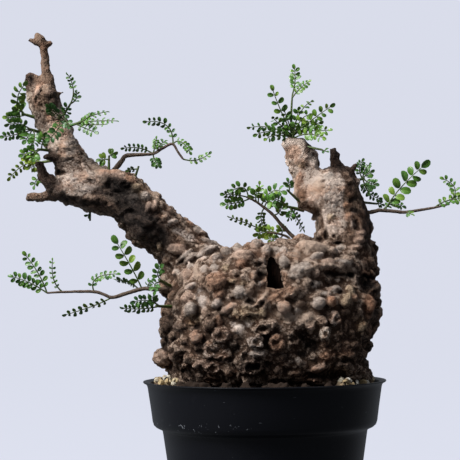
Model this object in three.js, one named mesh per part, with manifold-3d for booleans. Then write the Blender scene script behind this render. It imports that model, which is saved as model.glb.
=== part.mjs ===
// Operculicarya pachypus bonsai in a black plastic nursery pot.
// Millimetres, +Z up. The origin is the centre of the pot's underside, and -Y is the front.
//
// Positions written as (x, z) are read on the upright plane through the pot's axis, as the eye at EYE
// sees them. seenAt carries such a point to its true depth y.

import * as THREE from 'three';
import { ConvexHull } from 'three/addons/math/ConvexHull.js';
import { mergeVertices } from 'three/addons/utils/BufferGeometryUtils.js';
import Module from 'manifold-3d';

// Driving dimensions

const GAP = 0.3;                       // clearance between neighbouring pieces

const POT_HEIGHT = 100;
const POT_RIM_RADIUS = 60;
const POT_FOOT_RADIUS = 40.1;
const POT_STEP_HEIGHT = 76;            // where the tapered body ends and the band begins
const POT_BODY_TOP_RADIUS = 50.7;
const POT_BAND_LOW_RADIUS = 55.3;
const POT_BAND_TOP_RADIUS = 58;
const POT_WALL = 1.3;
const POT_SIDES = 32;
const DRAIN_HOLES = 8;
const DRAIN_RING_RADIUS = 25;
const DRAIN_RADIUS = 3.2;

const SOIL_TOP = 98.4;
const SOIL_SIDES = 24;
const GRANULES = 30;

const TRUNK_FOOT = SOIL_TOP + GAP;     // the caudex sits on the soil from here up
const CROWN_TOP = [38, 31];            // half widths of the buried root crown, at the soil surface
const CROWN_LOW = [29, 24];            // and at its lower end
const CROWN_DEPTH = 30;

const CAUDEX_CENTRE = [3.7, 2, 128];
const CAUDEX_HALF = [51.8, 41, 39.6];
const CAUDEX_SQUARENESS = 2.8;
const SCATTER_SPACING = 13.2;          // of the knobs that no row places
const SCATTER_HIGH = 3;
const CREASE_DEPTH = 2;
const ARM_CELL = 5.1;                  // facet size of the arms' bark
const KNOB_BLEND = 0.6;

const BLADE_THICK = 0.62;
const RACHIS_HALF = 0.4;
const MOST_PAIRS = 3;                  // leaflet pairs on one frond
const PAIR_SPACING = 5.8;
const TWIG_SUNK = 1.6;                 // depth of a twig's root under the smooth surface
const TWIG_STRAIGHT = 6;               // length of its first straight stretch
const LEAF_APART = 1.2;                // and this far from other fronds
const LEAF_CLEAR = 4.2;                // leaflets keep this far from the trunk's smooth surface

const EYE = new THREE.Vector3(-16.4, -717, 141.6);

const wasm = await Module();
wasm.setup();

// Small helpers

function seeded(seed) {
  let state = seed >>> 0;
  return () => {
    state = (Math.imul(state, 1664525) + 1013904223) >>> 0;
    return state / 4294967296;
  };
}

function seenAt(x, z, y) {
  const reach = 1 + y / -EYE.y;
  return new THREE.Vector3(EYE.x + (x - EYE.x) * reach, y, EYE.z + (z - EYE.z) * reach);
}

function solidOf(geometry) {
  const bare = geometry.clone();
  bare.deleteAttribute('normal');
  bare.deleteAttribute('uv');
  const merged = mergeVertices(bare, 1e-4);
  return new wasm.Manifold(new wasm.Mesh({
    numProp: 3,
    vertProperties: new Float32Array(merged.attributes.position.array),
    triVerts: new Uint32Array(merged.index.array),
  }));
}

function geometryOf(solid) {
  const mesh = solid.getMesh();
  const geometry = new THREE.BufferGeometry();
  geometry.setAttribute('position', new THREE.BufferAttribute(mesh.vertProperties, 3));
  geometry.setIndex(new THREE.BufferAttribute(mesh.triVerts, 1));
  return geometry;
}

function joined(solids) {
  let level = solids;
  while (level.length > 1) {
    const next = [];
    for (let i = 0; i < level.length; i += 2) {
      next.push(i + 1 < level.length ? level[i].add(level[i + 1]) : level[i]);
    }
    level = next;
  }
  return level[0];
}

// The largest closed body of a solid, without loose scraps or sealed hollows
function mainBody(solid) {
  let best = null;
  for (const piece of solid.decompose()) {
    if (!best || piece.volume() > best.volume()) best = piece;
  }
  return best;
}

function placed(geometry, position, axisX, axisY, axisZ) {
  const frame = new THREE.Matrix4().makeBasis(axisX, axisY, axisZ);
  frame.setPosition(position);
  return geometry.applyMatrix4(frame);
}

// A tapering round stem through the points, with its ends closed
function stem(points, radii, sides, steps) {
  const curve = new THREE.CatmullRomCurve3(points, false, 'centripetal');
  const geometry = new THREE.CylinderGeometry(1, 1, 1, sides, steps);
  const position = geometry.attributes.position;
  const frames = [];
  let side = new THREE.Vector3(0, -1, 0);
  for (let i = 0; i <= steps; i++) {
    const along = curve.getTangentAt(i / steps);
    const across = side.clone().addScaledVector(along, -side.dot(along)).normalize();
    frames.push([curve.getPointAt(i / steps), across, new THREE.Vector3().crossVectors(along, across)]);
    side = across;
  }
  for (let k = 0; k < position.count; k++) {
    const step = Math.round((position.getY(k) + 0.5) * steps);
    const [centre, across, up] = frames[step];
    const place = step / steps * (radii.length - 1);
    const low = Math.min(Math.floor(place), radii.length - 2);
    const radius = THREE.MathUtils.lerp(radii[low], radii[low + 1], place - low);
    const point = centre.clone()
      .addScaledVector(across, position.getX(k) * radius)
      .addScaledVector(up, -position.getZ(k) * radius);
    position.setXYZ(k, point.x, point.y, point.z);
  }
  return geometry;
}

// Pot

function potOuter(z) {
  const low = POT_STEP_HEIGHT;
  if (z <= low) return THREE.MathUtils.lerp(POT_FOOT_RADIUS, POT_BODY_TOP_RADIUS, z / low);
  return THREE.MathUtils.lerp(POT_BAND_LOW_RADIUS, POT_BAND_TOP_RADIUS, (z - low - 4) / 17);
}

function potInner(z) {
  const step = POT_STEP_HEIGHT + 3;
  if (z <= step) return potOuter(z * POT_STEP_HEIGHT / step) - POT_WALL;
  return potOuter(z) - POT_WALL;
}

function buildPot() {
  const z = POT_STEP_HEIGHT;
  const profile = [
    [0, 0],
    [POT_FOOT_RADIUS - 1.2, 0],
    [POT_FOOT_RADIUS, 1.4],
    [POT_BODY_TOP_RADIUS, z],
    [POT_BAND_LOW_RADIUS - 1.2, z + 2],
    [POT_BAND_LOW_RADIUS, z + 4.6],
    [POT_BAND_TOP_RADIUS, POT_HEIGHT - 2.6],
    [POT_RIM_RADIUS - 0.4, POT_HEIGHT - 1.1],
    [POT_RIM_RADIUS, POT_HEIGHT],
    [potInner(POT_HEIGHT), POT_HEIGHT - 0.6],
    [potInner(z + 5), z + 5],
    [potInner(z + 3), z + 3],
    [potInner(1.8), 1.8],
    [0, 1.8],
  ];
  const shell = new THREE.LatheGeometry(profile.map(([r, h]) => new THREE.Vector2(r, h)), POT_SIDES);
  shell.rotateX(Math.PI / 2);
  let pot = solidOf(shell);
  for (let i = 0; i < DRAIN_HOLES; i++) {
    const turn = (i + 0.5) * 2 * Math.PI / DRAIN_HOLES;
    const hole = new THREE.CylinderGeometry(DRAIN_RADIUS, DRAIN_RADIUS, 8, 8).rotateX(Math.PI / 2);
    hole.translate(DRAIN_RING_RADIUS * Math.cos(turn), DRAIN_RING_RADIUS * Math.sin(turn), 0.9);
    pot = pot.subtract(solidOf(hole));
  }
  return pot;
}

// Trunk: the caudex and arms as a rounded field, measured as a distance

// Cones that run from (x, z) at depth y and radius r to the next one, each row a limb
const LIMBS = [
  // left arm, from the caudex's shoulder
  [[-34, 158, 0, 15], [-43, 168, -2, 12], [-52, 174.5, -4, 11.6], [-60, 181.8, -5, 12.3]],
  [[-60, 181.8, -5, 12.3], [-70, 191.8, -6, 11], [-82, 195.3, -6, 11.2], [-94, 195.3, -6, 8]],
  [[-94, 195.3, -6, 8], [-101, 194, -6, 5]],
  // upper arm
  [[-90, 201, -6, 9.6], [-97.5, 214, -5, 8.2], [-102.2, 224, -4, 7], [-107.6, 237, -3, 7]],
  [[-107.6, 237, -3, 7], [-110, 242, -3, 6.4], [-112.8, 246, -3, 5], [-115, 250.6, -3, 3.4]],
  [[-108, 240, -3, 6], [-106.6, 246, -3, 3.8]],
  [[-109, 237, -3, 5.4], [-108, 230.5, -4, 5.2], [-104, 224, -4, 5.4]],
  // right arm
  [[41, 160, 3, 14], [40.6, 169, 3, 13.6], [38.6, 180, 4, 13.6], [33.8, 189.5, 4, 15.6]],
  [[27, 190, 3, 10.5], [23.2, 199, 3, 8], [21.8, 205, 2, 6.8], [19.4, 210, 2, 6.4], [17.2, 215.6, 2, 6.2]],
  [[37, 189, 5, 12], [39.6, 198.6, 5, 7.4]],
];

// Shallow hollows pressed into the surface: x, z, half width, half height, depth
const HOLLOWS = [
  [41, 148.5, 15, 5.5, 5],
  [22, 117, 7, 8, 5],
  [35, 160.8, 5, 2.5, 2.5],
  [-58, 190, 6, 4, 2],
  [-46, 131, 5, 4, 2],
  [0, 105, 12, 4, 2.5],
  [-68, 196, 7, 4, 2],
  [31.5, 208.4, 3.2, 4.4, 14],
];

const limbs = LIMBS.map((row) => row.map(([x, z, y, r]) => ({ at: seenAt(x, z, y), r })));

function coneDistance(p, a, b) {
  const line = b.at.clone().sub(a.at);
  const t = THREE.MathUtils.clamp(p.clone().sub(a.at).dot(line) / line.lengthSq(), 0, 1);
  return p.distanceTo(a.at.clone().addScaledVector(line, t)) - THREE.MathUtils.lerp(a.r, b.r, t);
}

function caudexDistance(p) {
  const n = CAUDEX_SQUARENESS;
  const d = [p.x, p.y, p.z].map((value, i) => Math.abs(value - CAUDEX_CENTRE[i]) / CAUDEX_HALF[i]);
  const size = (d[0] ** n + d[1] ** n + d[2] ** n) ** (1 / n);
  const reach = Math.hypot(p.x - CAUDEX_CENTRE[0], p.y - CAUDEX_CENTRE[1], p.z - CAUDEX_CENTRE[2]);
  return size < 1e-6 ? -40 : reach * (1 - 1 / size);
}

function softMin(a, b, k) {
  if (Math.abs(a - b) >= k) return Math.min(a, b);
  const h = 1 - Math.abs(a - b) / k;
  return Math.min(a, b) - h * h * k / 4;
}

function limbsDistance(p) {
  let value = 60;
  for (const limb of limbs) {
    for (let i = 0; i + 1 < limb.length; i++) {
      value = softMin(value, coneDistance(p, limb[i], limb[i + 1]), 3.5);
    }
  }
  return value;
}

function bareField(p) {
  return softMin(caudexDistance(p), limbsDistance(p), 3.5);
}

function lumps(p) {
  return 0.55 * Math.sin(p.x * 0.31 + p.z * 0.17) * Math.sin(p.y * 0.29 + p.z * 0.23 + 1)
    + 0.45 * Math.sin(p.x * 0.47 - p.y * 0.41) * Math.sin(p.z * 0.43 + 2);
}

// Where the line of sight through (x, z) first meets the field, or its nearest pass
function inView(field, x, z) {
  const way = seenAt(x, z, 0).sub(EYE).normalize();
  const point = EYE.clone().addScaledVector(way, 640);
  let nearest = point.clone();
  let least = Infinity;
  for (let i = 0; i < 220; i++) {
    const value = field(point);
    if (value < least) {
      least = value;
      nearest = point.clone();
    }
    if (value < 0.02) break;
    point.addScaledVector(way, Math.max(value * 0.7, 0.15));
    if (point.y > 60) break;
  }
  return nearest;
}

const hollows = HOLLOWS.map(([x, z, wide, tall, deep]) => ({
  at: inView(bareField, x, z).add(new THREE.Vector3(0, -deep * 0.3, 0)), wide, tall, deep,
}));

function carved(value, p) {
  let carvedValue = value - lumps(p);
  for (const { at, wide, tall, deep } of hollows) {
    const size = Math.hypot((p.x - at.x) / wide, (p.y - at.y) / (deep * 1.3), (p.z - at.z) / tall);
    carvedValue = -softMin(-carvedValue, (size - 1) * Math.min(wide, tall, deep), 2);
  }
  return carvedValue;
}

const trunkField = (p) => carved(bareField(p), p);
const limbsField = (p) => carved(limbsDistance(p), p);

// The caudex with the round shoulders that the arms rise from
function caudexField(p) {
  let value = caudexDistance(p);
  for (const [{ at, r }] of limbs.filter((limb) => limb[0].at.z < 165)) {
    value = softMin(value, p.distanceTo(at) - r, 6);
  }
  return carved(value, p);
}

function slopeOf(field, p) {
  const h = 0.2;
  return new THREE.Vector3(
    field(p.clone().setX(p.x + h)) - field(p.clone().setX(p.x - h)),
    field(p.clone().setY(p.y + h)) - field(p.clone().setY(p.y - h)),
    field(p.clone().setZ(p.z + h)) - field(p.clone().setZ(p.z - h)),
  ).divideScalar(2 * h);
}

// Moves a point onto the field's surface, no further than limit
function settle(field, p, limit = Infinity) {
  const start = p.clone();
  for (let i = 0; i < 3; i++) {
    const slope = slopeOf(field, p);
    p.addScaledVector(slope, -field(p) / Math.max(slope.lengthSq(), 0.3));
  }
  const moved = p.clone().sub(start).clampLength(0, limit);
  return p.copy(start).add(moved);
}

// Fills in grid corners where the inside meets itself only along a face's diagonal
function closeDiagonals(values, count, index) {
  let changed = true;
  while (changed) {
    changed = false;
    for (let k = 0; k + 1 < count[2]; k++) {
      for (let j = 0; j + 1 < count[1]; j++) {
        for (let i = 0; i + 1 < count[0]; i++) {
          for (let axis = 0; axis < 3; axis++) {
            const ring = [[0, 0], [1, 0], [1, 1], [0, 1]].map(([a, b]) => {
              const at = [i, j, k];
              at[(axis + 1) % 3] += a;
              at[(axis + 2) % 3] += b;
              return index(...at);
            });
            const inside = ring.map((at) => values[at] < 0);
            if (inside[0] !== inside[2] || inside[1] !== inside[3] || inside[0] === inside[1]) continue;
            const outer = ring.filter((at) => values[at] >= 0);
            outer.sort((a, b) => values[a] - values[b]);
            values[outer[0]] = -0.02;
            changed = true;
          }
        }
      }
    }
  }
}

// A closed mesh of the field's zero surface: one vertex in each grid cell that the surface crosses
function surfaceOf(field, low, high, cell) {
  const count = [0, 1, 2].map((i) => Math.ceil((high[i] - low[i]) / cell) + 1);
  const index = (i, j, k) => i + count[0] * (j + count[1] * k);
  const corner = (...at) => new THREE.Vector3(...at.map((step, i) => low[i] + step * cell));
  const values = new Float64Array(count[0] * count[1] * count[2]);
  for (let k = 0; k < count[2]; k++) {
    for (let j = 0; j < count[1]; j++) {
      for (let i = 0; i < count[0]; i++) values[index(i, j, k)] = field(corner(i, j, k));
    }
  }
  closeDiagonals(values, count, index);
  const vertexAt = new Map();
  const points = [];
  const vertexOf = (i, j, k) => {
    const key = index(i, j, k);
    if (vertexAt.has(key)) return vertexAt.get(key);
    const sum = new THREE.Vector3();
    let crossings = 0;
    for (let axis = 0; axis < 3; axis++) {
      for (let side = 0; side < 4; side++) {
        const from = [i, j, k];
        from[(axis + 1) % 3] += side & 1;
        from[(axis + 2) % 3] += side >> 1;
        const to = from.slice();
        to[axis] += 1;
        const a = values[index(...from)];
        const b = values[index(...to)];
        if (a < 0 === b < 0) continue;
        sum.add(corner(...from).lerp(corner(...to), a / (a - b)));
        crossings++;
      }
    }
    const point = settle(field, sum.divideScalar(crossings), cell * 0.5);
    vertexAt.set(key, points.length / 3);
    points.push(point.x, point.y, point.z);
    return vertexAt.get(key);
  };
  const faces = [];
  for (let k = 1; k + 1 < count[2]; k++) {
    for (let j = 1; j + 1 < count[1]; j++) {
      for (let i = 1; i + 1 < count[0]; i++) {
        for (let axis = 0; axis < 3; axis++) {
          const to = [i, j, k];
          to[axis] += 1;
          const inside = values[index(i, j, k)] < 0;
          if (inside === values[index(...to)] < 0) continue;
          const ring = [[-1, -1], [0, -1], [0, 0], [-1, 0]].map(([a, b]) => {
            const near = [i, j, k];
            near[(axis + 1) % 3] += a;
            near[(axis + 2) % 3] += b;
            return vertexOf(...near);
          });
          if (!inside) ring.reverse();
          faces.push(ring[0], ring[1], ring[2], ring[0], ring[2], ring[3]);
        }
      }
    }
  }
  const geometry = new THREE.BufferGeometry();
  geometry.setAttribute('position', new THREE.BufferAttribute(new Float32Array(points), 3));
  geometry.setIndex(faces);
  return geometry;
}

// Knobs of the caudex seen from the front, from the top row down: x, z, size, height
const CAUDEX_KNOBS = [
  [-33, 174.5, 5.7, 1.8], [-29.5, 171, 6.7, 2.1], [-4, 167, 7.5, 2.9], [20, 167.5, 8.8, 2.9],
  [27, 170.8, 5.9, 2.1], [-44, 166.5, 6.9, 2.5], [-38.5, 163.5, 6, 2.5], [-37, 160, 4.9, 1.8],
  [-31, 158, 5.9, 2.1], [-27, 165.5, 8.8, 2.7], [-21.5, 160, 6.3, 2.1], [-18.5, 164.5, 5.9, 2.1],
  [-16.5, 158.5, 6.3, 2.1], [-12.3, 166.5, 6.7, 2.7], [-10, 160.5, 9.5, 3.1], [0.4, 163, 6, 1.8],
  [8.6, 164, 4.9, 1.8], [10.6, 158, 6.4, 1.9], [15.5, 161.5, 7.3, 2.5], [25.5, 161.5, 5.3, 1.8],
  [33.5, 163, 4.9, 1.8], [45, 163.5, 5.7, 1.8], [54.6, 161.5, 5.5, 2.1], [-39.5, 152.5, 7.3, 2.5],
  [-31, 151.5, 5.5, 2.1], [-26, 155.8, 5.7, 1.8], [-18, 151.5, 6.7, 2.1], [-8, 150, 6.9, 2.5],
  [17, 152.6, 7.8, 2.3], [24, 157.4, 9.5, 1.9], [27.2, 152.2, 6, 2.5], [38, 157, 6.9, 1.8],
  [56, 154.5, 5.5, 2.1], [-46.5, 148.5, 7.9, 2.9], [-37, 141.5, 7.3, 2.5], [-37, 146, 5.3, 1.8],
  [-31.5, 146.5, 6.9, 2.5], [-29, 140.5, 6.6, 2.3], [-23, 145.8, 11.5, 3.8], [-19, 140.5, 6.3, 2.1],
  [-12.5, 144, 6.5, 2.5], [15, 142.6, 8.1, 2.5], [22, 148.2, 5.5, 2.1], [28, 148, 4.9, 1.8],
  [35, 143.6, 7.3, 2.5], [42.5, 143.8, 4.7, 1.9], [56.6, 147.5, 5.3, 1.8], [-42, 138.5, 5, 2.1],
  [-36, 135.8, 7.7, 3.1], [-16, 136.8, 6.6, 1.8], [-8, 132.8, 10.6, 3.4], [2, 136, 7.3, 2.5],
  [10, 136.2, 7.2, 2.7], [16.5, 134, 3.5, 1.8], [20.5, 132, 6.3, 2.1], [26, 138, 7.2, 2.9],
  [33.5, 138.3, 6, 2.3], [39, 138.5, 4.9, 1.8], [50.4, 137, 7.2, 2.7], [57.4, 137.6, 5.5, 2.1],
  [-50, 126.5, 5.5, 2.1], [-45, 127.5, 8, 3.4], [-45, 121.5, 6.5, 2.5], [-39, 128.5, 6, 2.5],
  [-35.5, 121.5, 7.6, 2.7], [-33.5, 129, 6.7, 2.1], [-27, 128.5, 6.5, 2.5], [-22.5, 129.5, 5, 2.1],
  [-20.5, 123.5, 8.5, 2.5], [-16, 128, 5.3, 1.8], [-2, 126, 7.4, 2.1], [21, 127, 7.3, 2.5],
  [28, 128.5, 6, 2.5], [30, 121.5, 6, 1.9], [33.6, 130.5, 7.2, 2.7], [38, 124, 6, 2.5],
  [47.6, 124.5, 5.9, 2.1], [48.2, 130.5, 5.5, 2.1], [56, 130.5, 6, 2.5], [-49.5, 119.5, 5, 2.1],
  [-42.5, 114, 6.9, 2.5], [-24.5, 115.8, 10.6, 3.1], [-14, 120, 5.5, 2.1], [-9, 113, 6.5, 2.5],
  [-5, 119.2, 9, 3.8], [-2, 113.6, 6, 1.8], [8, 119.4, 6.9, 2.5], [14, 121, 5.5, 2.1],
  [25, 113, 5.5, 2.1], [33, 113, 4.5, 1.8], [41, 113.5, 6.9, 2.5], [44.5, 118.5, 5.9, 2.1],
  [52.6, 115.4, 5, 2.1], [54.6, 121, 5, 2.1], [-49, 110.5, 11.5, 3.8], [-43, 103.5, 7.1, 2.1],
  [-39, 108.5, 5, 2.1], [-33, 110, 6.5, 2.5], [-26, 107, 8.8, 2.9], [-19, 103.5, 6.3, 2.1],
  [-9.5, 107, 9.2, 2.9], [15, 106, 7.1, 2.1], [28, 105.8, 5.9, 2.1], [41, 106, 6.7, 2.1],
  [51, 107.6, 6, 2.5], [-33, 103, 6.7, 2.1], [4, 102.5, 6.3, 1.8],
];

// Knobs of the arms seen from the front: x, z, width, height, turn in degrees
const ARM_KNOBS = [
  [-55.5, 187.6, 5, 8, 15], [-50.2, 187, 5, 6, 0], [-49, 181.5, 7, 5, 20], [-43, 179.5, 7, 5, -35],
  [-60.5, 192.5, 6, 5, 0], [-75, 202.5, 7, 5, 0], [-68, 200.4, 8, 5, -25], [-85, 200.8, 8, 4, 0],
  [-72, 186, 7, 5, 30], [-85, 190.5, 7, 5, 0], [-57, 178, 8, 5, 30], [-108.5, 228, 4, 8, 15],
  [-104.6, 229.6, 5, 7, 20], [-106.5, 243.5, 5, 6, 0], [-112.6, 240.5, 4, 9, 15],
  [-103.4, 240, 4.5, 7, 0], [16.6, 205.6, 5, 6, 0], [18.4, 193, 5, 8, 10], [22.5, 191, 5, 7, 0],
  [30, 178, 5, 6, 0], [28, 196, 6, 5, 0], [47.5, 177, 6, 5, 0], [35, 172.5, 8, 4, 10],
  [-35, 178, 6, 4, -30], [49.5, 173, 5, 3.5, 0], [49.6, 169.5, 5, 3.5, 0], [48.6, 165.5, 6, 3.5, 0],
  [-53.5, 192.3, 6, 4.5, -40], [-46.6, 185.6, 5, 4.5, -30], [-62, 185, 6, 4, 0], [-80, 203.6, 7, 4, 0],
  [-61.5, 197.4, 7, 4, -30], [-66.4, 171.5, 5, 4, 0], [-93, 203.4, 8, 3.6, 25],
  [-103.6, 190.2, 5, 5, 0], [-74, 205.4, 6, 3.5, 0], [-103.6, 209, 4, 7, 20], [-98, 218.6, 7, 4, 10],
  [28, 207.4, 4, 3, 0], [34, 181.5, 6, 4, 0], [45, 204.6, 5, 4.5, 0], [39.5, 205, 5, 3.5, 0],
  [20, 214.5, 4, 6, 10],
];

// Dark pits sunk in the knobs: x, z, width, height, depth
const PITS = [
  [-24.5, 114.3, 9, 3.6, 3], [-8, 132.4, 7, 4, 3], [35, 130, 3.4, 4.4, 3], [28.4, 128.4, 3.6, 3.6, 3],
  [-5, 119, 4, 4, 2], [8, 119.2, 4, 3.4, 2], [-25.5, 107.2, 4.4, 3, 2], [-118.4, 247.4, 3.4, 5, 4],
  [31, 107.6, 3, 2.2, 2], [-86, 201, 4, 1.8, 2.4],
];

// The dark wedge-shaped wound under the top of the caudex
const WOUND = [[1.6, 146.4], [9.8, 146.4], [8.6, 156], [6.4, 163.2], [2.2, 161.6]];

// An ellipsoid half sunk in the surface at p, as wide, tall and proud as given
function knobAt(p, normal, wide, tall, proud, turn) {
  const up = new THREE.Vector3(Math.sin(-turn), 0, Math.cos(turn));
  const tangent = up.addScaledVector(normal, -up.dot(normal)).normalize();
  const across = new THREE.Vector3().crossVectors(tangent, normal);
  return {
    centre: p.clone().addScaledVector(normal, -proud),
    axes: [across, tangent, normal],
    half: new THREE.Vector3(wide / 2, tall / 2, proud * 2),
  };
}

function knobDistance(p, { centre, axes, half }) {
  const away = p.clone().sub(centre);
  if (away.lengthSq() > 400) return 60;
  const near = new THREE.Vector3(...axes.map((axis) => axis.dot(away))).divide(half);
  const steep = near.clone().divide(half).length();
  return steep < 1e-6 ? -half.z : near.length() * (near.length() - 1) / steep;
}

const armKnobs = ARM_KNOBS.map(([x, z, wide, tall, degrees]) => {
  const p = settle(limbsField, inView(limbsField, x, z));
  const normal = slopeOf(limbsField, p).normalize();
  const proud = THREE.MathUtils.clamp(Math.min(wide, tall) * 0.4, 1.8, 3.2);
  return knobAt(p, normal, wide * 1.4, tall * 1.4, proud, THREE.MathUtils.degToRad(degrees));
});

function armField(p) {
  return armKnobs.reduce((value, knob) => softMin(value, knobDistance(p, knob), KNOB_BLEND), limbsField(p));
}

// Knob centres of the caudex as directions from its middle: the rows above, then a seeded even
// scatter over what they leave free
function knobDirections() {
  const middle = new THREE.Vector3(...CAUDEX_CENTRE);
  const random = seeded(20);
  const found = CAUDEX_KNOBS.map(([x, z, size, high]) => {
    const p = inView(caudexField, x, z);
    return { p, way: p.clone().sub(middle).normalize(), size, high, plain: false };
  });
  for (let tries = 0; tries < 6000; tries++) {
    const way = new THREE.Vector3(random() * 2 - 1, random() * 2 - 1, random() * 2 - 1);
    if (way.length() > 1 || way.length() < 0.2) continue;
    way.normalize();
    const p = middle.clone().addScaledVector(way, reachOf(way));
    const spacing = SCATTER_SPACING * (p.z < TRUNK_FOOT - 4 ? 2.2 : 1);
    if (found.some((knob) => knob.p.distanceTo(p) < spacing / 2 + knob.size / 2)) continue;
    const high = SCATTER_HIGH * (0.8 + random() * 0.4);
    found.push({ p, way, size: SCATTER_SPACING, high, plain: true });
  }
  return found;
}

// How far the caudex's surface is from its middle in a direction
function reachOf(way) {
  const middle = new THREE.Vector3(...CAUDEX_CENTRE);
  let near = 10;
  let far = 95;
  for (let i = 0; i < 18; i++) {
    const half = (near + far) / 2;
    if (caudexField(middle.clone().addScaledVector(way, half)) < 0) near = half;
    else far = half;
  }
  return near;
}

// The triangles that join directions evenly round the sphere
function wrap(ways) {
  const order = new Map(ways.map((way, i) => [way, i]));
  return new ConvexHull().setFromPoints(ways).faces.map((face) => {
    const edge = face.edge;
    const corners = [edge.head(), edge.next.head(), edge.prev.head()];
    return corners.map((corner) => order.get(corner.point));
  });
}

// The caudex: a closed skin with a raised top on each knob, a ring of shoulders round those of the
// front, and creases along the lines where neighbouring knobs meet
function caudexSkin() {
  const middle = new THREE.Vector3(...CAUDEX_CENTRE);
  const knobs = knobDirections();
  const points = knobs.map(({ way, high }) => ({ way: way.clone(), high }));
  const add = (way, high) => {
    way.normalize();
    if (points.every((point) => point.way.angleTo(way) > 0.034)) points.push({ way, high });
  };
  const faces = wrap(knobs.map((knob) => knob.way));
  for (const face of faces) {
    const [a, b, c] = face.map((i) => knobs[i].way);
    const corner = b.clone().sub(a).cross(c.clone().sub(a)).normalize();
    if (corner.dot(a) < 0) corner.negate();
    add(corner.clone(), -CREASE_DEPTH);
  }
  for (const face of faces) {
    for (let e = 0; e < 3; e++) {
      const [i, j] = [face[e], face[(e + 1) % 3]];
      const share = knobs[i].size / (knobs[i].size + knobs[j].size);
      if (i < j) add(knobs[i].way.clone().lerp(knobs[j].way, share), -CREASE_DEPTH * 0.8);
    }
  }
  for (const face of faces) {
    const [a, b, c] = face.map((i) => knobs[i].way);
    const corner = b.clone().sub(a).cross(c.clone().sub(a)).normalize();
    if (corner.dot(a) < 0) corner.negate();
    for (const i of face) {
      if (!knobs[i].plain) add(knobs[i].way.clone().lerp(corner, 0.6), knobs[i].high * 0.85);
    }
  }
  const flat = [];
  for (const { way, high } of points) {
    const p = middle.clone().addScaledVector(way, reachOf(way) + high);
    flat.push(p.x, p.y, p.z);
  }
  const geometry = new THREE.BufferGeometry();
  geometry.setAttribute('position', new THREE.BufferAttribute(new Float32Array(flat), 3));
  geometry.setIndex(wrap(points.map((point) => point.way)).flat());
  return geometry;
}

function pitAt([x, z, wide, tall, deep]) {
  const p = inView(trunkField, x, z);
  const ball = new THREE.IcosahedronGeometry(1, 0);
  ball.scale(wide / 2, deep + 2.4, tall / 2);
  return ball.translate(p.x, p.y - 1.2, p.z);
}

function woundCut() {
  const outline = WOUND.map(([x, z]) => new THREE.Vector2(x - WOUND[0][0], z - WOUND[0][1]));
  const prism = new THREE.ExtrudeGeometry(new THREE.Shape(outline), { depth: 18, bevelEnabled: false });
  const start = seenAt(WOUND[0][0], WOUND[0][1], -27);
  return prism.rotateX(Math.PI / 2).translate(start.x, start.y, start.z);
}

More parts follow.
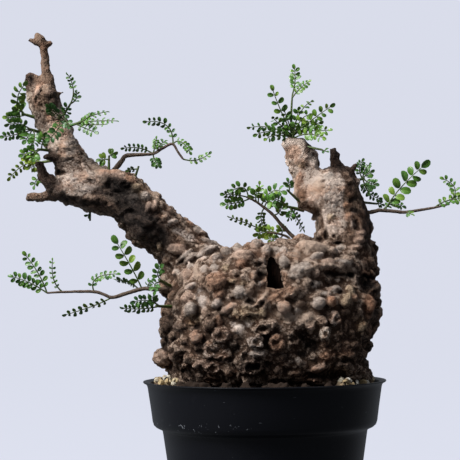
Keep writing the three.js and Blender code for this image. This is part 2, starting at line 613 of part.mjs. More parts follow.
// Leafy sprays. A twig's points are x, z and depth y, with a radius for each in radii; the first
// one lies at the trunk's surface. A frond row is: start x, z, middle x, z, tip x, z, tip's depth y,
// pairs of leaflets, leaflet length, and the blade's turn away from the viewer in degrees.
const SPRAYS = [
  {
    name: 'spray_crown_left_top',
    twig: [[-113, 231.5, -5], [-120, 233.5, -8]],
    radii: [0.9, 0.6],
    fronds: [
      [-119, 233, -122, 241, -117, 249.5, -21, 5, 4.2, 0],
      [-119, 233.5, -121.5, 235.2, -125, 236.3, -14, 2, 4, 10],
      [-118, 232.5, -123, 231.8, -129.5, 231.6, -9, 6, 3.4, 30],
      [-118.5, 233.2, -121, 238, -119.5, 241.5, -2, 3, 4, 0],
    ],
  },
  {
    name: 'spray_crown_left_middle',
    twig: [[-110.5, 224, -6], [-117, 226, -10]],
    radii: [0.9, 0.6],
    fronds: [
      [-116, 225.8, -122, 228.4, -128.6, 227.3, -15, 5, 3.6, 15],
      [-115, 225.5, -122, 223.2, -131, 221.6, -12, 6, 3.2, 25],
      [-116, 226, -119.5, 225.4, -123.5, 224.6, -2, 3, 3.8, 0],
      [-115, 225.2, -117, 221.5, -119.5, 218, -13, 3, 4, 0],
      [-114.5, 225, -113.5, 221, -115.2, 216.5, -17, 4, 3.8, 10],
    ],
  },
  {
    name: 'spray_crown_left_low',
    twig: [[-106, 215, -9], [-112, 215.5, -15]],
    radii: [0.9, 0.6],
    fronds: [
      [-111.5, 215.5, -116, 214, -121.5, 211.8, -19, 4, 3.8, 10],
      [-111, 215.4, -109.4, 219.5, -107.5, 224, -21, 4, 4, 0],
      [-111.7, 215.5, -113.6, 213, -114, 209.6, -21, 3, 4, 0],
    ],
  },
  {
    name: 'spray_crown_left_yellow',
    twig: [[-104, 210, 0], [-111, 208.8, 4]],
    radii: [0.9, 0.6],
    fronds: [
      [-110.5, 208.9, -119, 207.6, -127, 199.8, 1, 6, 3.2, 25],
      [-110.8, 208.8, -116, 210.8, -120.5, 210, 7, 3, 4, 0],
      [-111, 208.8, -114.5, 206.8, -118, 206.2, -3, 3, 3.8, 10],
    ],
  },
  {
    name: 'spray_arm_end',
    twig: [[-100, 197, 4], [-107, 200, 8]],
    radii: [0.7, 0.5],
    fronds: [
      [-106.5, 199.8, -112, 200.6, -113.6, 195, 9, 4, 3.4, 0],
    ],
  },
  {
    name: 'spray_crown_right',
    twig: [[-97.5, 226.6, -6], [-91.5, 228.6, -10]],
    radii: [0.9, 0.6],
    fronds: [
      [-93, 228.7, -84, 229.4, -71, 229.3, -12, 7, 3, 45],
      [-92.5, 228.6, -88.5, 226, -81, 222.8, -16, 4, 4, 10],
      [-92, 228.8, -84, 232.4, -75.5, 234.2, -6, 5, 3, 35],
      [-92.5, 228.8, -88, 230.3, -84.5, 234, -18, 3, 3.4, 20],
      [-92, 228.6, -84, 227.6, -77, 227.8, -21, 4, 2.6, 20],
    ],
  },
  {
    name: 'spray_crown_right_up',
    twig: [[-99, 232.5, -1], [-95, 239, 1]],
    radii: [0.7, 0.5],
    fronds: [
      [-95, 239, -94.2, 246.5, -97.7, 254.2, 0, 6, 2.8, 30],
      [-95.4, 238.4, -92.6, 241, -93.2, 245.5, 4, 3, 3, 20],
    ],
  },
  {
    name: 'spray_crown_front',
    twig: [[-101.5, 231, -9], [-100.8, 232.5, -18]],
    radii: [0.9, 0.6],
    fronds: [
      [-99.3, 231, -102, 225.4, -108.5, 219.3, -27, 6, 4.4, 5],
      [-99.3, 231, -104, 234.5, -108.3, 238.3, -22, 5, 4.2, 10],
      [-99.3, 231, -97.6, 234.5, -99, 239, -21, 3, 4, 0],
      [-99.3, 231, -97, 228.6, -97, 225.2, -24, 3, 3.8, 0],
    ],
  },
  {
    name: 'spray_arm_top',
    twig: [[-76.5, 204.5, -9], [-76.4, 211.5, -10]],
    radii: [0.8, 0.5],
    fronds: [
      [-76.4, 209.5, -79, 210.2, -83.3, 209, -10, 2, 4.2, 0],
      [-76.4, 211, -75, 212.6, -71.5, 213.2, -10, 2, 4, 0],
    ],
  },
  {
    name: 'spray_brown_twig',
    twig: [[-74, 204.5, -3], [-70.2, 209.2, -3], [-68.2, 211.8, -3], [-64, 212.3, -3], [-54.5, 212.8, -3],
      [-50, 215.3, -3], [-44.8, 217.6, -3], [-42, 213.6, -3], [-39.5, 210, -3]],
    radii: [1.5, 1.3, 1.1, 0.9, 0.8, 0.75, 0.7, 0.6, 0.5],
    fronds: [
      [-55, 212.8, -62, 215.8, -71, 215.3, -4, 6, 3, 30],
      [-54, 213, -53.2, 217.4, -52.5, 222, -6, 4, 2.8, 30],
      [-53, 213.8, -50.5, 217.6, -46.5, 219.4, 2, 3, 3.4, 20],
      [-44.8, 217.6, -48, 227.2, -60, 228.5, -3, 7, 3.6, 30],
      [-44.8, 217.6, -40.3, 218.6, -35, 211.8, -7, 6, 3.2, 30],
      [-39.5, 210, -32, 209.6, -25, 213.8, -3, 5, 3, 30],
      [-54.5, 212.8, -53, 208.5, -49.7, 205.8, -4, 5, 3.6, 0],
    ],
  },
  {
    name: 'spray_arm_leaf',
    twig: [[-64, 199.5, -9], [-62, 205.5, -10]],
    radii: [0.7, 0.5],
    fronds: [
      [-62.3, 204.8, -65, 205, -68.5, 204, -10, 2, 2.8, 50],
    ],
  },
  {
    name: 'spray_arm_under',
    twig: [[-86, 187, 3], [-86, 181.5, 4]],
    radii: [0.7, 0.5],
    fronds: [
      [-86, 184.4, -86.8, 182.8, -86.2, 180.4, 3, 1, 2.6, 0],
    ],
  },
  {
    name: 'spray_lower_left',
    twig: [[-48, 145.3, -5], [-56, 145.4, -6], [-60, 145.6, -6], [-68, 143.4, -6], [-75, 141.4, -6],
      [-79, 142.8, -6], [-85, 144.4, -6], [-100, 144.3, -6], [-107.5, 143.9, -6]],
    radii: [1.2, 1.1, 1, 0.95, 0.85, 0.75, 0.7, 0.6, 0.5],
    fronds: [
      [-61, 145.4, -66, 157, -74.8, 172, -10, 5, 4.6, 0],
      [-61.5, 145.3, -67, 148.8, -74.5, 150, -3, 6, 3.2, 55],
      [-57, 145.4, -57, 148, -54.5, 149.6, -9, 2, 2.6, 20],
      [-75, 141.4, -86, 136.8, -100, 132.6, -7, 7, 3, 45],
      [-84.8, 144.4, -82.8, 151.2, -71, 153, -8, 7, 3, 35],
      [-100.5, 144.3, -104.3, 151, -104.5, 161.3, -8, 6, 2, 20],
      [-107.5, 143.9, -112, 154, -119.5, 164.5, -6, 7, 3.6, 0],
      [-107.5, 143.9, -117, 149.5, -127, 152.6, -8, 7, 3.8, 0],
    ],
  },
  {
    name: 'spray_caudex_left_low',
    twig: [[-46, 136.5, -16], [-53.5, 137, -23]],
    radii: [0.9, 0.6],
    fronds: [
      [-53, 137, -62, 135.6, -71.5, 136.4, -24, 7, 3.2, 35],
      [-53, 137, -59, 139.9, -66, 138, -27, 5, 3.6, 10],
      [-53, 137, -55, 140.5, -53, 143.6, -27, 3, 3.6, 0],
    ],
  },
  {
    name: 'spray_caudex_left_high',
    twig: [[-46.5, 147, -17], [-52, 150, -25]],
    radii: [0.9, 0.6],
    fronds: [
      [-52, 150, -52.5, 153.6, -49, 157.5, -28, 3, 4.2, 0],
      [-52, 150, -54, 147.6, -52.6, 144.4, -33, 3, 4, 0],
    ],
  },
  {
    name: 'spray_middle',
    twig: [[18.5, 167, 14], [13.5, 172.3, 16], [9, 177, 15], [4.5, 182.3, 14], [-3, 188.2, 13],
      [-8, 190.8, 12]],
    radii: [1.1, 1, 0.9, 0.8, 0.65, 0.5],
    fronds: [
      [-7.5, 190.6, -9.8, 195.5, -16.5, 193.2, 9, 4, 3.4, 15],
      [-8, 190.8, -14, 191.9, -21, 192.2, 12, 5, 3, 35],
      [-6.5, 190, -13, 187.9, -21, 187.2, 15, 5, 3.6, 15],
      [-3, 188.2, -3.4, 192, -1, 195, 8, 3, 4, 0],
      [-2.5, 188, -1.9, 193, -1.4, 198.5, 15, 3, 2.4, 10],
      [-1, 187, 5, 193.6, 11.5, 192, 8, 5, 3.8, 10],
      [1, 185.5, 3, 188.6, 6.5, 186, 5, 4, 4.4, 0],
      [5, 181.8, 8.6, 183.6, 9.8, 189.5, 11, 4, 3.6, 0],
      [1, 185, -0.9, 180, 1.5, 173.8, 20, 5, 2.8, 20],
    ],
  },
  {
    name: 'spray_caudex_top',
    twig: [[15, 162, 27], [12.5, 170.5, 29], [7, 172.5, 29], [2, 172.9, 29]],
    radii: [0.9, 0.8, 0.6, 0.5],
    fronds: [
      [2, 172.9, -5, 176.4, -17.8, 181.3, 29, 7, 2.6, 45],
      [8, 172.2, 2, 173.6, -5, 171.2, 32, 5, 4.2, 0],
      [10, 171.7, 6.5, 169.6, 0.5, 170.8, 36, 4, 4, 0],
      [9, 172, 9.4, 174.2, 6.5, 176, 27, 3, 3.6, 0],
    ],
  },
  {
    name: 'spray_arm_right_inner',
    twig: [[19, 184.2, 8], [11.5, 186, 4]],
    radii: [1, 0.6],
    fronds: [
      [12, 185.8, 8, 189, 3.5, 189.6, 0, 4, 3.8, 0],
      [13.5, 185.4, 17, 180, 20.8, 172.6, 20, 6, 3.2, 25],
      [13, 185.5, 14, 182, 11.6, 178.4, 2, 4, 3, 10],
    ],
  },
  {
    name: 'spray_arm_right_side',
    twig: [[17, 189.5, -3], [12.6, 193.8, -6]],
    radii: [0.7, 0.5],
    fronds: [
      [12.8, 193.6, 13.2, 197, 11.6, 200.2, -7, 3, 3.4, 10],
    ],
  },
  {
    name: 'spray_rosette',
    twig: [[15.6, 219, 2], [14.6, 228, 2], [14.9, 236, 2], [15.4, 242, 2]],
    radii: [1.3, 1, 0.7, 0.5],
    fronds: [
      [15.4, 242, 16.8, 250, 15.9, 257.3, 1, 5, 3.6, 20],
      [14.6, 227, 8.4, 236.5, 4.9, 247, -3, 5, 4.4, 0],
      [15.2, 240, 19.5, 245.2, 25, 249, -1, 5, 2.8, 25],
      [14.8, 231, 20, 234, 26.3, 238.8, 10, 5, 2.8, 30],
      [14.7, 227.5, 26.5, 230.2, 36.8, 237.2, -4, 6, 4.2, 0],
      [14.7, 226.5, 20, 229.6, 25.5, 231.4, -12, 3, 3.6, 0],
      [14.7, 226, 23, 225.6, 31, 228, 6, 5, 3.8, 0],
      [14.8, 224.4, 25, 223.6, 35.4, 224, -3, 6, 3.6, 0],
      [14.8, 223.6, 24, 222, 32.2, 218.8, -11, 5, 4, 0],
      [14.8, 224.4, 4, 223.4, -4.4, 220.8, -3, 6, 3.4, 20],
      [14.8, 223.6, 7, 221.6, 0.8, 218.6, -10, 4, 3.6, 10],
      [14.7, 225.4, 3, 225.6, -7.8, 225, 8, 6, 3, 25],
      [14.7, 226, 8, 227.8, 5.5, 230.4, -10, 4, 3.2, 15],
      [14.7, 228, 12.2, 231, 11, 234.5, -7, 3, 3.8, 0],
      [14.7, 229, 17.8, 231.4, 18.4, 235.4, -8, 3, 3.8, 0],
    ],
  },
  {
    name: 'spray_right_back',
    twig: [[44.5, 198, 8], [50.8, 199.6, 10]],
    radii: [0.9, 0.6],
    fronds: [
      [50, 199.4, 48.4, 205, 51.2, 209.5, 9, 5, 3, 15],
      [50.2, 199.4, 51.6, 204.6, 54.6, 207, 15, 4, 2.6, 25],
      [50.4, 199.5, 52.6, 202, 56.3, 203.4, 8, 3, 3.6, 10],
      [50.6, 199.6, 54, 197, 58.3, 196.6, 5, 4, 3.8, 0],
      [50.4, 199.5, 53.4, 192, 60, 189.2, 12, 6, 3.2, 15],
      [50.2, 199.4, 51.6, 195, 53.2, 191.2, 2, 3, 3.8, 0],
    ],
  },
  {
    name: 'spray_right_small',
    twig: [[50, 187.6, 10], [57, 186.8, 14]],
    radii: [0.7, 0.5],
    fronds: [
      [56.5, 186.8, 58.5, 186.8, 60.8, 185.4, 15, 2, 2.8, 10],
    ],
  },
  {
    name: 'spray_right_long',
    twig: [[50.5, 182, 3], [58, 183.6, 3], [65, 183, 3], [70.5, 182.5, 3], [78, 183.5, 3], [86, 184.8, 3],
      [92, 186.2, 3]],
    radii: [1.1, 1, 0.9, 0.85, 0.7, 0.6, 0.5],
    fronds: [
      [60, 183.6, 65, 186.8, 71, 184.4, 7, 5, 2.8, 25],
      [60.5, 183.6, 69, 195, 83, 207.7, -1, 6, 4.6, 0],
      [71, 182.5, 73, 182, 75, 180.6, 0, 2, 2.4, 20],
      [86, 184.8, 94, 188.6, 106, 188.5, 3, 7, 3.4, 30],
      [92, 186.2, 95.8, 194, 88.5, 199.5, 5, 6, 2.8, 15],
    ],
  },
  {
    name: 'spray_right_notch',
    twig: [[22.5, 215.6, -1], [30, 214, -5]],
    radii: [0.7, 0.5],
    fronds: [
      [29.4, 214.1, 31, 213.6, 33.4, 212.4, -7, 1, 2.6, 30],
    ],
  },
];

// A frond's flat outline: leaflets in pairs cut down to the rib, and one at the tip. A leaflet
// without room is left out.
function frondOutline(length, pairs, size, hasRoom) {
  const tip = length - size;
  const first = Math.min(2.6, tip * 0.3);
  const spacing = (tip - first) / pairs;
  const side = (sign) => {
    const points = [];
    for (let i = 0; i < pairs; i++) {
      const foot = first + spacing * i;
      const swell = 0.8 + 0.25 * Math.sin(Math.PI * (i + 0.8) / (pairs + 0.6));
      const end = RACHIS_HALF + Math.min(size, spacing * 1.3) * swell;
      if (!hasRoom(foot, spacing, end, sign)) continue;
      if (points.length && points.at(-1)[0] === foot) points.pop();
      points.push([foot, RACHIS_HALF], [foot + spacing * 0.2, end], [foot + spacing * 0.8, end]);
      points.push([first + spacing * (i + 1), RACHIS_HALF]);
    }
    return points.filter(([along]) => along < tip - 0.01).map(([along, out]) => [along, out * sign]);
  };
  const outline = [
    [0, RACHIS_HALF],
    ...side(1),
    [tip, RACHIS_HALF],
    [tip + size * 0.5, size * 0.38],
    [length, 0],
    [tip + size * 0.5, -size * 0.38],
    [tip, -RACHIS_HALF],
    ...side(-1).reverse(),
    [0, -RACHIS_HALF],
  ];
  return outline.map(([along, out]) => new THREE.Vector2(along, out));
}

// The point of a twig nearest to where a frond is seen to start
function nearestOn(curve, target) {
  let best = null;
  for (let i = 0; i <= 120; i++) {
    const point = curve.getPointAt(i / 120);
    if (!best || point.distanceTo(target) < best.distanceTo(target)) best = point;
  }
  return best;
}

// Points on the twigs, ribs and leaflets placed so far, each with its owner
const taken = [];

function isFree(point, owner, reach) {
  return taken.every((other) => other.owner === owner || point.distanceTo(other.at) > reach);
}

// The middle line of a frond, from its place on the twig to its tip
function frondCurve(twigCurve, row, place) {
  const [startX, startZ, middleX, middleZ, tipX, tipZ, tipY] = row;
  const spur = twigCurve.points.length < 4;
  const start = spur ? twigCurve.getPointAt(THREE.MathUtils.lerp(0.68, 0.98, place))
    : nearestOn(twigCurve, seenAt(startX, startZ, twigCurve.getPointAt(0.6).y));
  const tip = seenAt(tipX, tipZ, tipY);
  const middle = seenAt(middleX, middleZ, (start.y + tipY) / 2);
  const bend = middle.multiplyScalar(2).addScaledVector(start, -0.5).addScaledVector(tip, -0.5);
  return new THREE.QuadraticBezierCurve3(start, bend, tip);
}

function buildFrond({ curve, row }) {
  const [, , , , , , , pairs, size, turn] = row;
  const length = curve.getLength();
  const chord = curve.v2.clone().sub(curve.v0);
  const angle = THREE.MathUtils.degToRad(turn);
  const facing = new THREE.Vector3(-chord.z, 0, chord.x).normalize().multiplyScalar(Math.sin(angle));
  facing.y = -Math.cos(angle);
  const fits = Math.max(1, Math.min(MOST_PAIRS, pairs, Math.floor(length / PAIR_SPACING)));
  const long = Math.min(size * (pairs > fits ? 1.15 : 1), length * 0.5);
  const bent = (along, out, lift) => {
    const at = THREE.MathUtils.clamp(along / length, 0, 1);
    const way = curve.getTangentAt(at);
    const normal = facing.clone().addScaledVector(way, -facing.dot(way)).normalize();
    const across = new THREE.Vector3().crossVectors(normal, way);
    return curve.getPointAt(at).addScaledVector(across, out).addScaledVector(normal, lift);
  };
  const hasRoom = (foot, spacing, end, sign) => {
    const points = [];
    for (const part of [0.25, 0.6, 1]) {
      for (const side of [-0.5, 0, 0.5]) {
        const along = foot + spacing * (0.5 + side * (1 - 0.4 * part));
        points.push(bent(along, sign * end * part, 0));
      }
    }
    const free = points.every((at) => trunkField(at) > LEAF_CLEAR && isFree(at, curve, LEAF_APART));
    if (free) taken.push(...points.map((at) => ({ at, owner: curve })));
    return free;
  };
  const outline = new THREE.Shape(frondOutline(length, fits, long, hasRoom));
  const blade = new THREE.ExtrudeGeometry(outline, { depth: BLADE_THICK, bevelEnabled: false });
  const position = blade.attributes.position;
  for (let k = 0; k < position.count; k++) {
    const point = bent(position.getX(k), position.getY(k), position.getZ(k) - BLADE_THICK / 2);
    position.setXYZ(k, point.x, point.y, point.z);
  }
  return blade;
}

// Lays out a spray's twig and its fronds' middle lines, and marks the room that they take
function planSpray({ name, twig, radii, fronds }) {
  const points = twig.map(([x, z, y]) => seenAt(x, z, y));
  const root = settle(trunkField, points[0].clone());
  const way = points[1].clone().sub(root).normalize();
  const sunk = root.clone().addScaledVector(way, -TWIG_SUNK);
  const straight = root.clone().addScaledVector(way, TWIG_STRAIGHT);
  const rest = points.slice(1).filter((point) => point.distanceTo(root) > TWIG_STRAIGHT + 1);
  const path = [sunk, straight, ...rest];
  if (!rest.length) path.push(straight.clone().addScaledVector(way, 1.5));
  const twigCurve = new THREE.CatmullRomCurve3(path, false, 'centripetal');
  const mark = (curve) => {
    const steps = Math.ceil(curve.getLength());
    for (let i = 0; i <= steps; i++) taken.push({ at: curve.getPointAt(i / steps), owner: curve });
  };
  mark(twigCurve);
  const curves = fronds.map((row, i) => frondCurve(twigCurve, row, (i + 0.5) / fronds.length));
  curves.forEach(mark);
  return { name, path, radii, way, fronds: fronds.map((row, i) => ({ row, curve: curves[i] })) };
}

// A spray as one body, with the plain socket that its twig stands in
function buildSpray({ name, path, radii, way, fronds }) {
  const twigBody = stem(path, radii, 5, Math.max(3, path.length));
  const reach = TWIG_SUNK + TWIG_STRAIGHT;
  const wide = (radii[0] + GAP + 0.05) / Math.cos(Math.PI / 6);
  const bore = new THREE.CylinderGeometry(wide, wide, reach + GAP, 6);
  bore.rotateX(Math.PI / 2).translate(0, 0, (reach - GAP) / 2);
  const side = new THREE.Vector3(way.z, 0, -way.x).normalize();
  const socket = placed(bore, path[0], side, new THREE.Vector3().crossVectors(way, side), way);
  const body = joined([twigBody, ...fronds.map(buildFrond)].map(solidOf));
  return { name, solid: mainBody(body), socket };
}

// Dead stubs and the bare top branch: rows of (x, z, depth y, radius)
const STUBS = [
  // swollen stub that ends the left arm
  { sides: 9, steps: 6, row: [
    [-99, 194, -7, 4.6], [-105, 192.2, -8, 2.9], [-110.5, 191.6, -9, 2.1], [-115, 191.8, -9, 2.2],
    [-117.3, 191.9, -9, 1.5],
  ] },
  // short upright stub beside it
  { sides: 8, steps: 5, row: [
    [-101, 194, -10, 4.4], [-105.5, 197.4, -12, 3.3], [-109, 202.4, -13, 2.4], [-111, 209, -13, 1.9],
  ] },
  // short dry knot on the upper arm's left side
  { sides: 6, steps: 2, row: [[-99.6, 209.4, -9, 2.6], [-104.6, 211.2, -11, 1.8], [-109, 211.8, -13, 1.2]] },
  // bare top branch
  { sides: 8, steps: 6, row: [
    [-105.6, 243, -3, 3.6], [-106.8, 250, -3, 2.7], [-108, 256, -3, 2.2], [-108.3, 263, -3, 2],
    [-109.4, 268.6, -3, 2.3],
  ] },
  { sides: 6, steps: 3, row: [[-109, 268, -3, 1.8], [-112.6, 269.2, -4, 1.4], [-116.2, 270.9, -4, 0.8]] },
  { sides: 7, steps: 3, row: [[-109, 268, -3, 2.2], [-111, 271, -3, 2.4], [-112.6, 273.6, -2, 1.2]] },
  { sides: 6, steps: 3, row: [[-109, 267.6, -3, 2], [-106.6, 268.4, -2, 1.6], [-104.6, 269.3, -2, 0.9]] },
  { sides: 6, steps: 2, row: [[-106.6, 249.6, -3, 1.8], [-105, 251, -3, 2.2], [-103.6, 251.4, -3, 1.4]] },
  { sides: 5, steps: 2, row: [[-103.6, 242.6, -3, 0.9], [-101, 243.4, -4, 0.7], [-98.8, 244.3, -4, 0.5]] },
  // dark stub between the lobes of the right arm
  { sides: 8, steps: 4, row: [
    [38, 200, 1, 3.6], [37.2, 206, 0, 2.8], [35.8, 211, 0, 2.3], [35.2, 214.8, 0, 1.7],
  ] },
];

function stubsOf() {
  return STUBS.map(({ sides, steps, row }) => stem(
    row.map(([x, z, y]) => seenAt(x, z, y)), row.map((point) => point[3]), sides, steps));
}

// The buried root crown: a plain tapering plug
function crownPlug(top, grow) {
  const plug = new THREE.CylinderGeometry(1, 1, 1, 28);
  const position = plug.attributes.position;
  const height = top - (SOIL_TOP - CROWN_DEPTH) + grow;
  for (let k = 0; k < position.count; k++) {
    const share = position.getY(k) + 0.5;
    const wide = THREE.MathUtils.lerp(CROWN_LOW[0], CROWN_TOP[0], share) + grow;
    const deep = THREE.MathUtils.lerp(CROWN_LOW[1], CROWN_TOP[1], share) + grow;
    position.setXYZ(k, position.getX(k) * wide, -position.getZ(k) * deep, top - (1 - share) * height);
  }
  return plug;
}

function buildTrunk(sockets) {
  const arms = surfaceOf(armField, [-130, -40, 136], [76, 44, 264], ARM_CELL);
  let body = joined([caudexSkin(), arms, ...stubsOf()].map(solidOf));
  const cuts = [woundCut(), ...PITS.map(pitAt), ...sockets].map(solidOf);
  const floor = new THREE.BoxGeometry(200, 200, 60).translate(0, 0, TRUNK_FOOT - 30);
  body = body.subtract(joined(cuts)).subtract(solidOf(floor));
  return mainBody(body.add(solidOf(crownPlug(TRUNK_FOOT + 2, 0))));
}

// Soil

function granule(random, size) {
  const box = new THREE.BoxGeometry(size, size * (0.7 + random() * 0.3), size * (0.6 + random() * 0.3));
  const position = box.attributes.position;
  const taper = 0.55 + random() * 0.25;
  for (let k = 0; k < position.count; k++) {
    if (position.getZ(k) > 0) {
      position.setX(k, position.getX(k) * taper);
      position.setY(k, position.getY(k) * taper);
    }
  }
  return box.rotateX(random() * 0.7 - 0.35).rotateY(random() * 0.7 - 0.35).rotateZ(random() * 6.3);
}

function buildSoil(trunk) {
  const inner = (z) => potInner(z) - GAP - 0.35;
  const step = POT_STEP_HEIGHT + 3;
  const profile = [
    [0, 1.8 + GAP], [inner(2.1), 1.8 + GAP], [inner(step), step], [inner(step + 2), step + 2.6],
    [inner(SOIL_TOP - 0.6), SOIL_TOP - 0.6], [inner(SOIL_TOP) - 1.4, SOIL_TOP], [0, SOIL_TOP],
  ];
  const core = new THREE.LatheGeometry(profile.map(([r, z]) => new THREE.Vector2(r, z)), SOIL_SIDES);
  core.rotateX(Math.PI / 2);
  const random = seeded(7);
  const pieces = [solidOf(core)];
  const spots = [];
  for (let tries = 0; tries < 6000 && spots.length < GRANULES; tries++) {
    const turn = random() * 2 * Math.PI;
    const radius = 34 + random() * 21;
    const size = 4 + random() * 1.8;
    const spot = new THREE.Vector3(radius * Math.cos(turn), radius * Math.sin(turn), SOIL_TOP + 0.4);
    if (radius + size * 0.62 > inner(SOIL_TOP) - 0.2) continue;
    if (spots.some((other) => other.distanceTo(spot) < 4.6)) continue;
    const high = spot.clone().setZ(SOIL_TOP + 2.5);
    if (Math.min(trunkField(spot), trunkField(high)) < size * 0.62 + 2.2) continue;
    spots.push(spot);
    spot.z += random() * 1.4;
    pieces.push(solidOf(granule(random, size).translate(spot.x, spot.y, spot.z)));
  }
  let soil = joined(pieces);
  soil = soil.subtract(solidOf(crownPlug(SOIL_TOP + 1, GAP)));
  return mainBody(soil.subtract(trunk));
}

const sprays = SPRAYS.map(planSpray).map(buildSpray);
const trunk = buildTrunk(sprays.map((spray) => spray.socket));
const soil = buildSoil(trunk);

function meshOf(name, solid, color, roughness, metalness) {
  const material = new THREE.MeshStandardMaterial({ color, roughness, metalness });
  const mesh = new THREE.Mesh(geometryOf(solid), material);
  mesh.name = name;
  return mesh;
}

const group = new THREE.Group();
group.add(
  meshOf('pot', buildPot(), 0x17181b, 0.55, 0),
  meshOf('soil', soil, 0x6b5a48, 0.95, 0),
  meshOf('trunk', trunk, 0x7d6a5c, 0.85, 0),
  ...sprays.map(({ name, solid }) => meshOf(name, solid, 0x3f6b22, 0.5, 0)),
);

export default group;
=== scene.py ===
"""Operculicarya pachypus bonsai in a black plastic nursery pot.

The tables hold millimetres, and MM turns them into Blender's metres. A table's x and z are read on
the upright plane through the pot's axis, as the eye at EYE sees them. seen_at carries such a point
to its depth y, where a smaller y is nearer to the eye.
"""

import math
import random

import bpy
import numpy as np
from bpy.props import FloatProperty, FloatVectorProperty, IntProperty, PointerProperty
from bpy.types import Operator, Panel, PropertyGroup
from mathutils import Matrix, Vector, noise
from mathutils.bvhtree import BVHTree
from mathutils.kdtree import KDTree


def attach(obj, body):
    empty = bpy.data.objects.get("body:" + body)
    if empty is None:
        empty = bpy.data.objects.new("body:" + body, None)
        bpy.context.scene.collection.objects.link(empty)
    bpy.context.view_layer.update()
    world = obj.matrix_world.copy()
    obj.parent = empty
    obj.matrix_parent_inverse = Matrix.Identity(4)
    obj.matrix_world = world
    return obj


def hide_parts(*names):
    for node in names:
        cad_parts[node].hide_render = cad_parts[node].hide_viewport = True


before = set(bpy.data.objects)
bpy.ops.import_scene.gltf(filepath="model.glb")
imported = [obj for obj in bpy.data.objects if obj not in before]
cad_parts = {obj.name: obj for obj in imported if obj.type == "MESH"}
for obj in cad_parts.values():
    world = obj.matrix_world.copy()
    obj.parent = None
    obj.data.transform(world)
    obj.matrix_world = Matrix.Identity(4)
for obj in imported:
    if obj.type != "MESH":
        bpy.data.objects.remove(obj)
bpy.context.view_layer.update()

bl_info = {
    "name": "Pachypus bonsai",
    "version": (1, 0, 0),
    "blender": (4, 5, 0),
    "location": "3D View > Sidebar > Bonsai",
    "description": "Dresses a knobbly caudex bonsai, its leafy sprays, grit and plastic pot",
    "category": "Object",
}

MM = 0.001
EYE = Vector((-16.4, -717, 141.6))


def seen_at(x, z, y):
    """The point at depth y on the line of sight through (x, z), in millimetres."""
    reach = 1 - y / EYE.y
    return Vector((EYE.x + (x - EYE.x) * reach, y, EYE.z + (z - EYE.z) * reach))


# Tables read from the plant

# The dark wedge-shaped wound under the top of the caudex
WOUND = [
    [1.4, 145.8], [5, 145], [9.4, 145.4], [9, 149], [8.4, 152.4], [7.7, 154.6], [6.4, 157.4], [5, 159.8],
    [3.8, 160.3], [2.8, 159.6], [2.2, 157], [1.2, 155.4], [1.8, 151.8],
]

# Dead stubs and the bare top branch: tone, and rows of x, z, depth y and radius
STUBS = [
    # swollen stub that ends the left arm
    ["tan", [
        [-99, 194, -7, 4.6], [-105, 192.2, -8, 2.9], [-110.5, 191.6, -9, 2.1], [-115, 191.8, -9, 2.2],
        [-117.3, 191.9, -9, 1.5],
    ]],
    # short upright stub beside it
    ["umber", [[-101, 194, -10, 4.4], [-105.5, 197.4, -12, 3.3], [-109, 202.4, -13, 2.4], [-111, 209, -13, 1.9]]],
    # short dry knot on the upper arm's left side
    ["umber", [[-99.6, 209.4, -9, 2.6], [-104.6, 211.2, -11, 1.8], [-109, 211.8, -13, 1.2]]],
    # torn edge of the right lobe
    ["umber", [[42.2, 197, 2, 3], [43.8, 201.4, 1, 2.4], [45.4, 204.6, 0, 1.7], [46.8, 206.8, 0, 0.9]]],
    # bare top branch
    ["brown", [
        [-105.6, 243, -3, 3.6], [-106.8, 250, -3, 2.7], [-108, 256, -3, 2.2], [-108.3, 263, -3, 2],
        [-109.4, 268.6, -3, 2.3],
    ]],
    ["brown", [[-109, 268, -3, 1.8], [-112.6, 269.2, -4, 1.4], [-116.2, 270.9, -4, 0.8]]],
    ["brown", [[-109, 268, -3, 2.2], [-111, 271, -3, 2.4], [-112.6, 273.6, -2, 1.2]]],
    ["brown", [[-109, 267.6, -3, 2], [-106.6, 268.4, -2, 1.6], [-104.6, 269.3, -2, 0.9]]],
    ["brown", [[-106.6, 249.6, -3, 1.8], [-105, 251, -3, 2.2], [-103.6, 251.4, -3, 1.4]]],
    ["brown", [[-103.6, 242.6, -3, 0.9], [-101, 243.4, -4, 0.7], [-98.8, 244.3, -4, 0.5]]],
    # dark stub between the lobes of the right arm
    ["umber", [[38, 200, 1, 3.6], [37.2, 206, 0, 2.8], [35.8, 211, 0, 2.3], [35.2, 214.8, 0, 1.7]]],
]

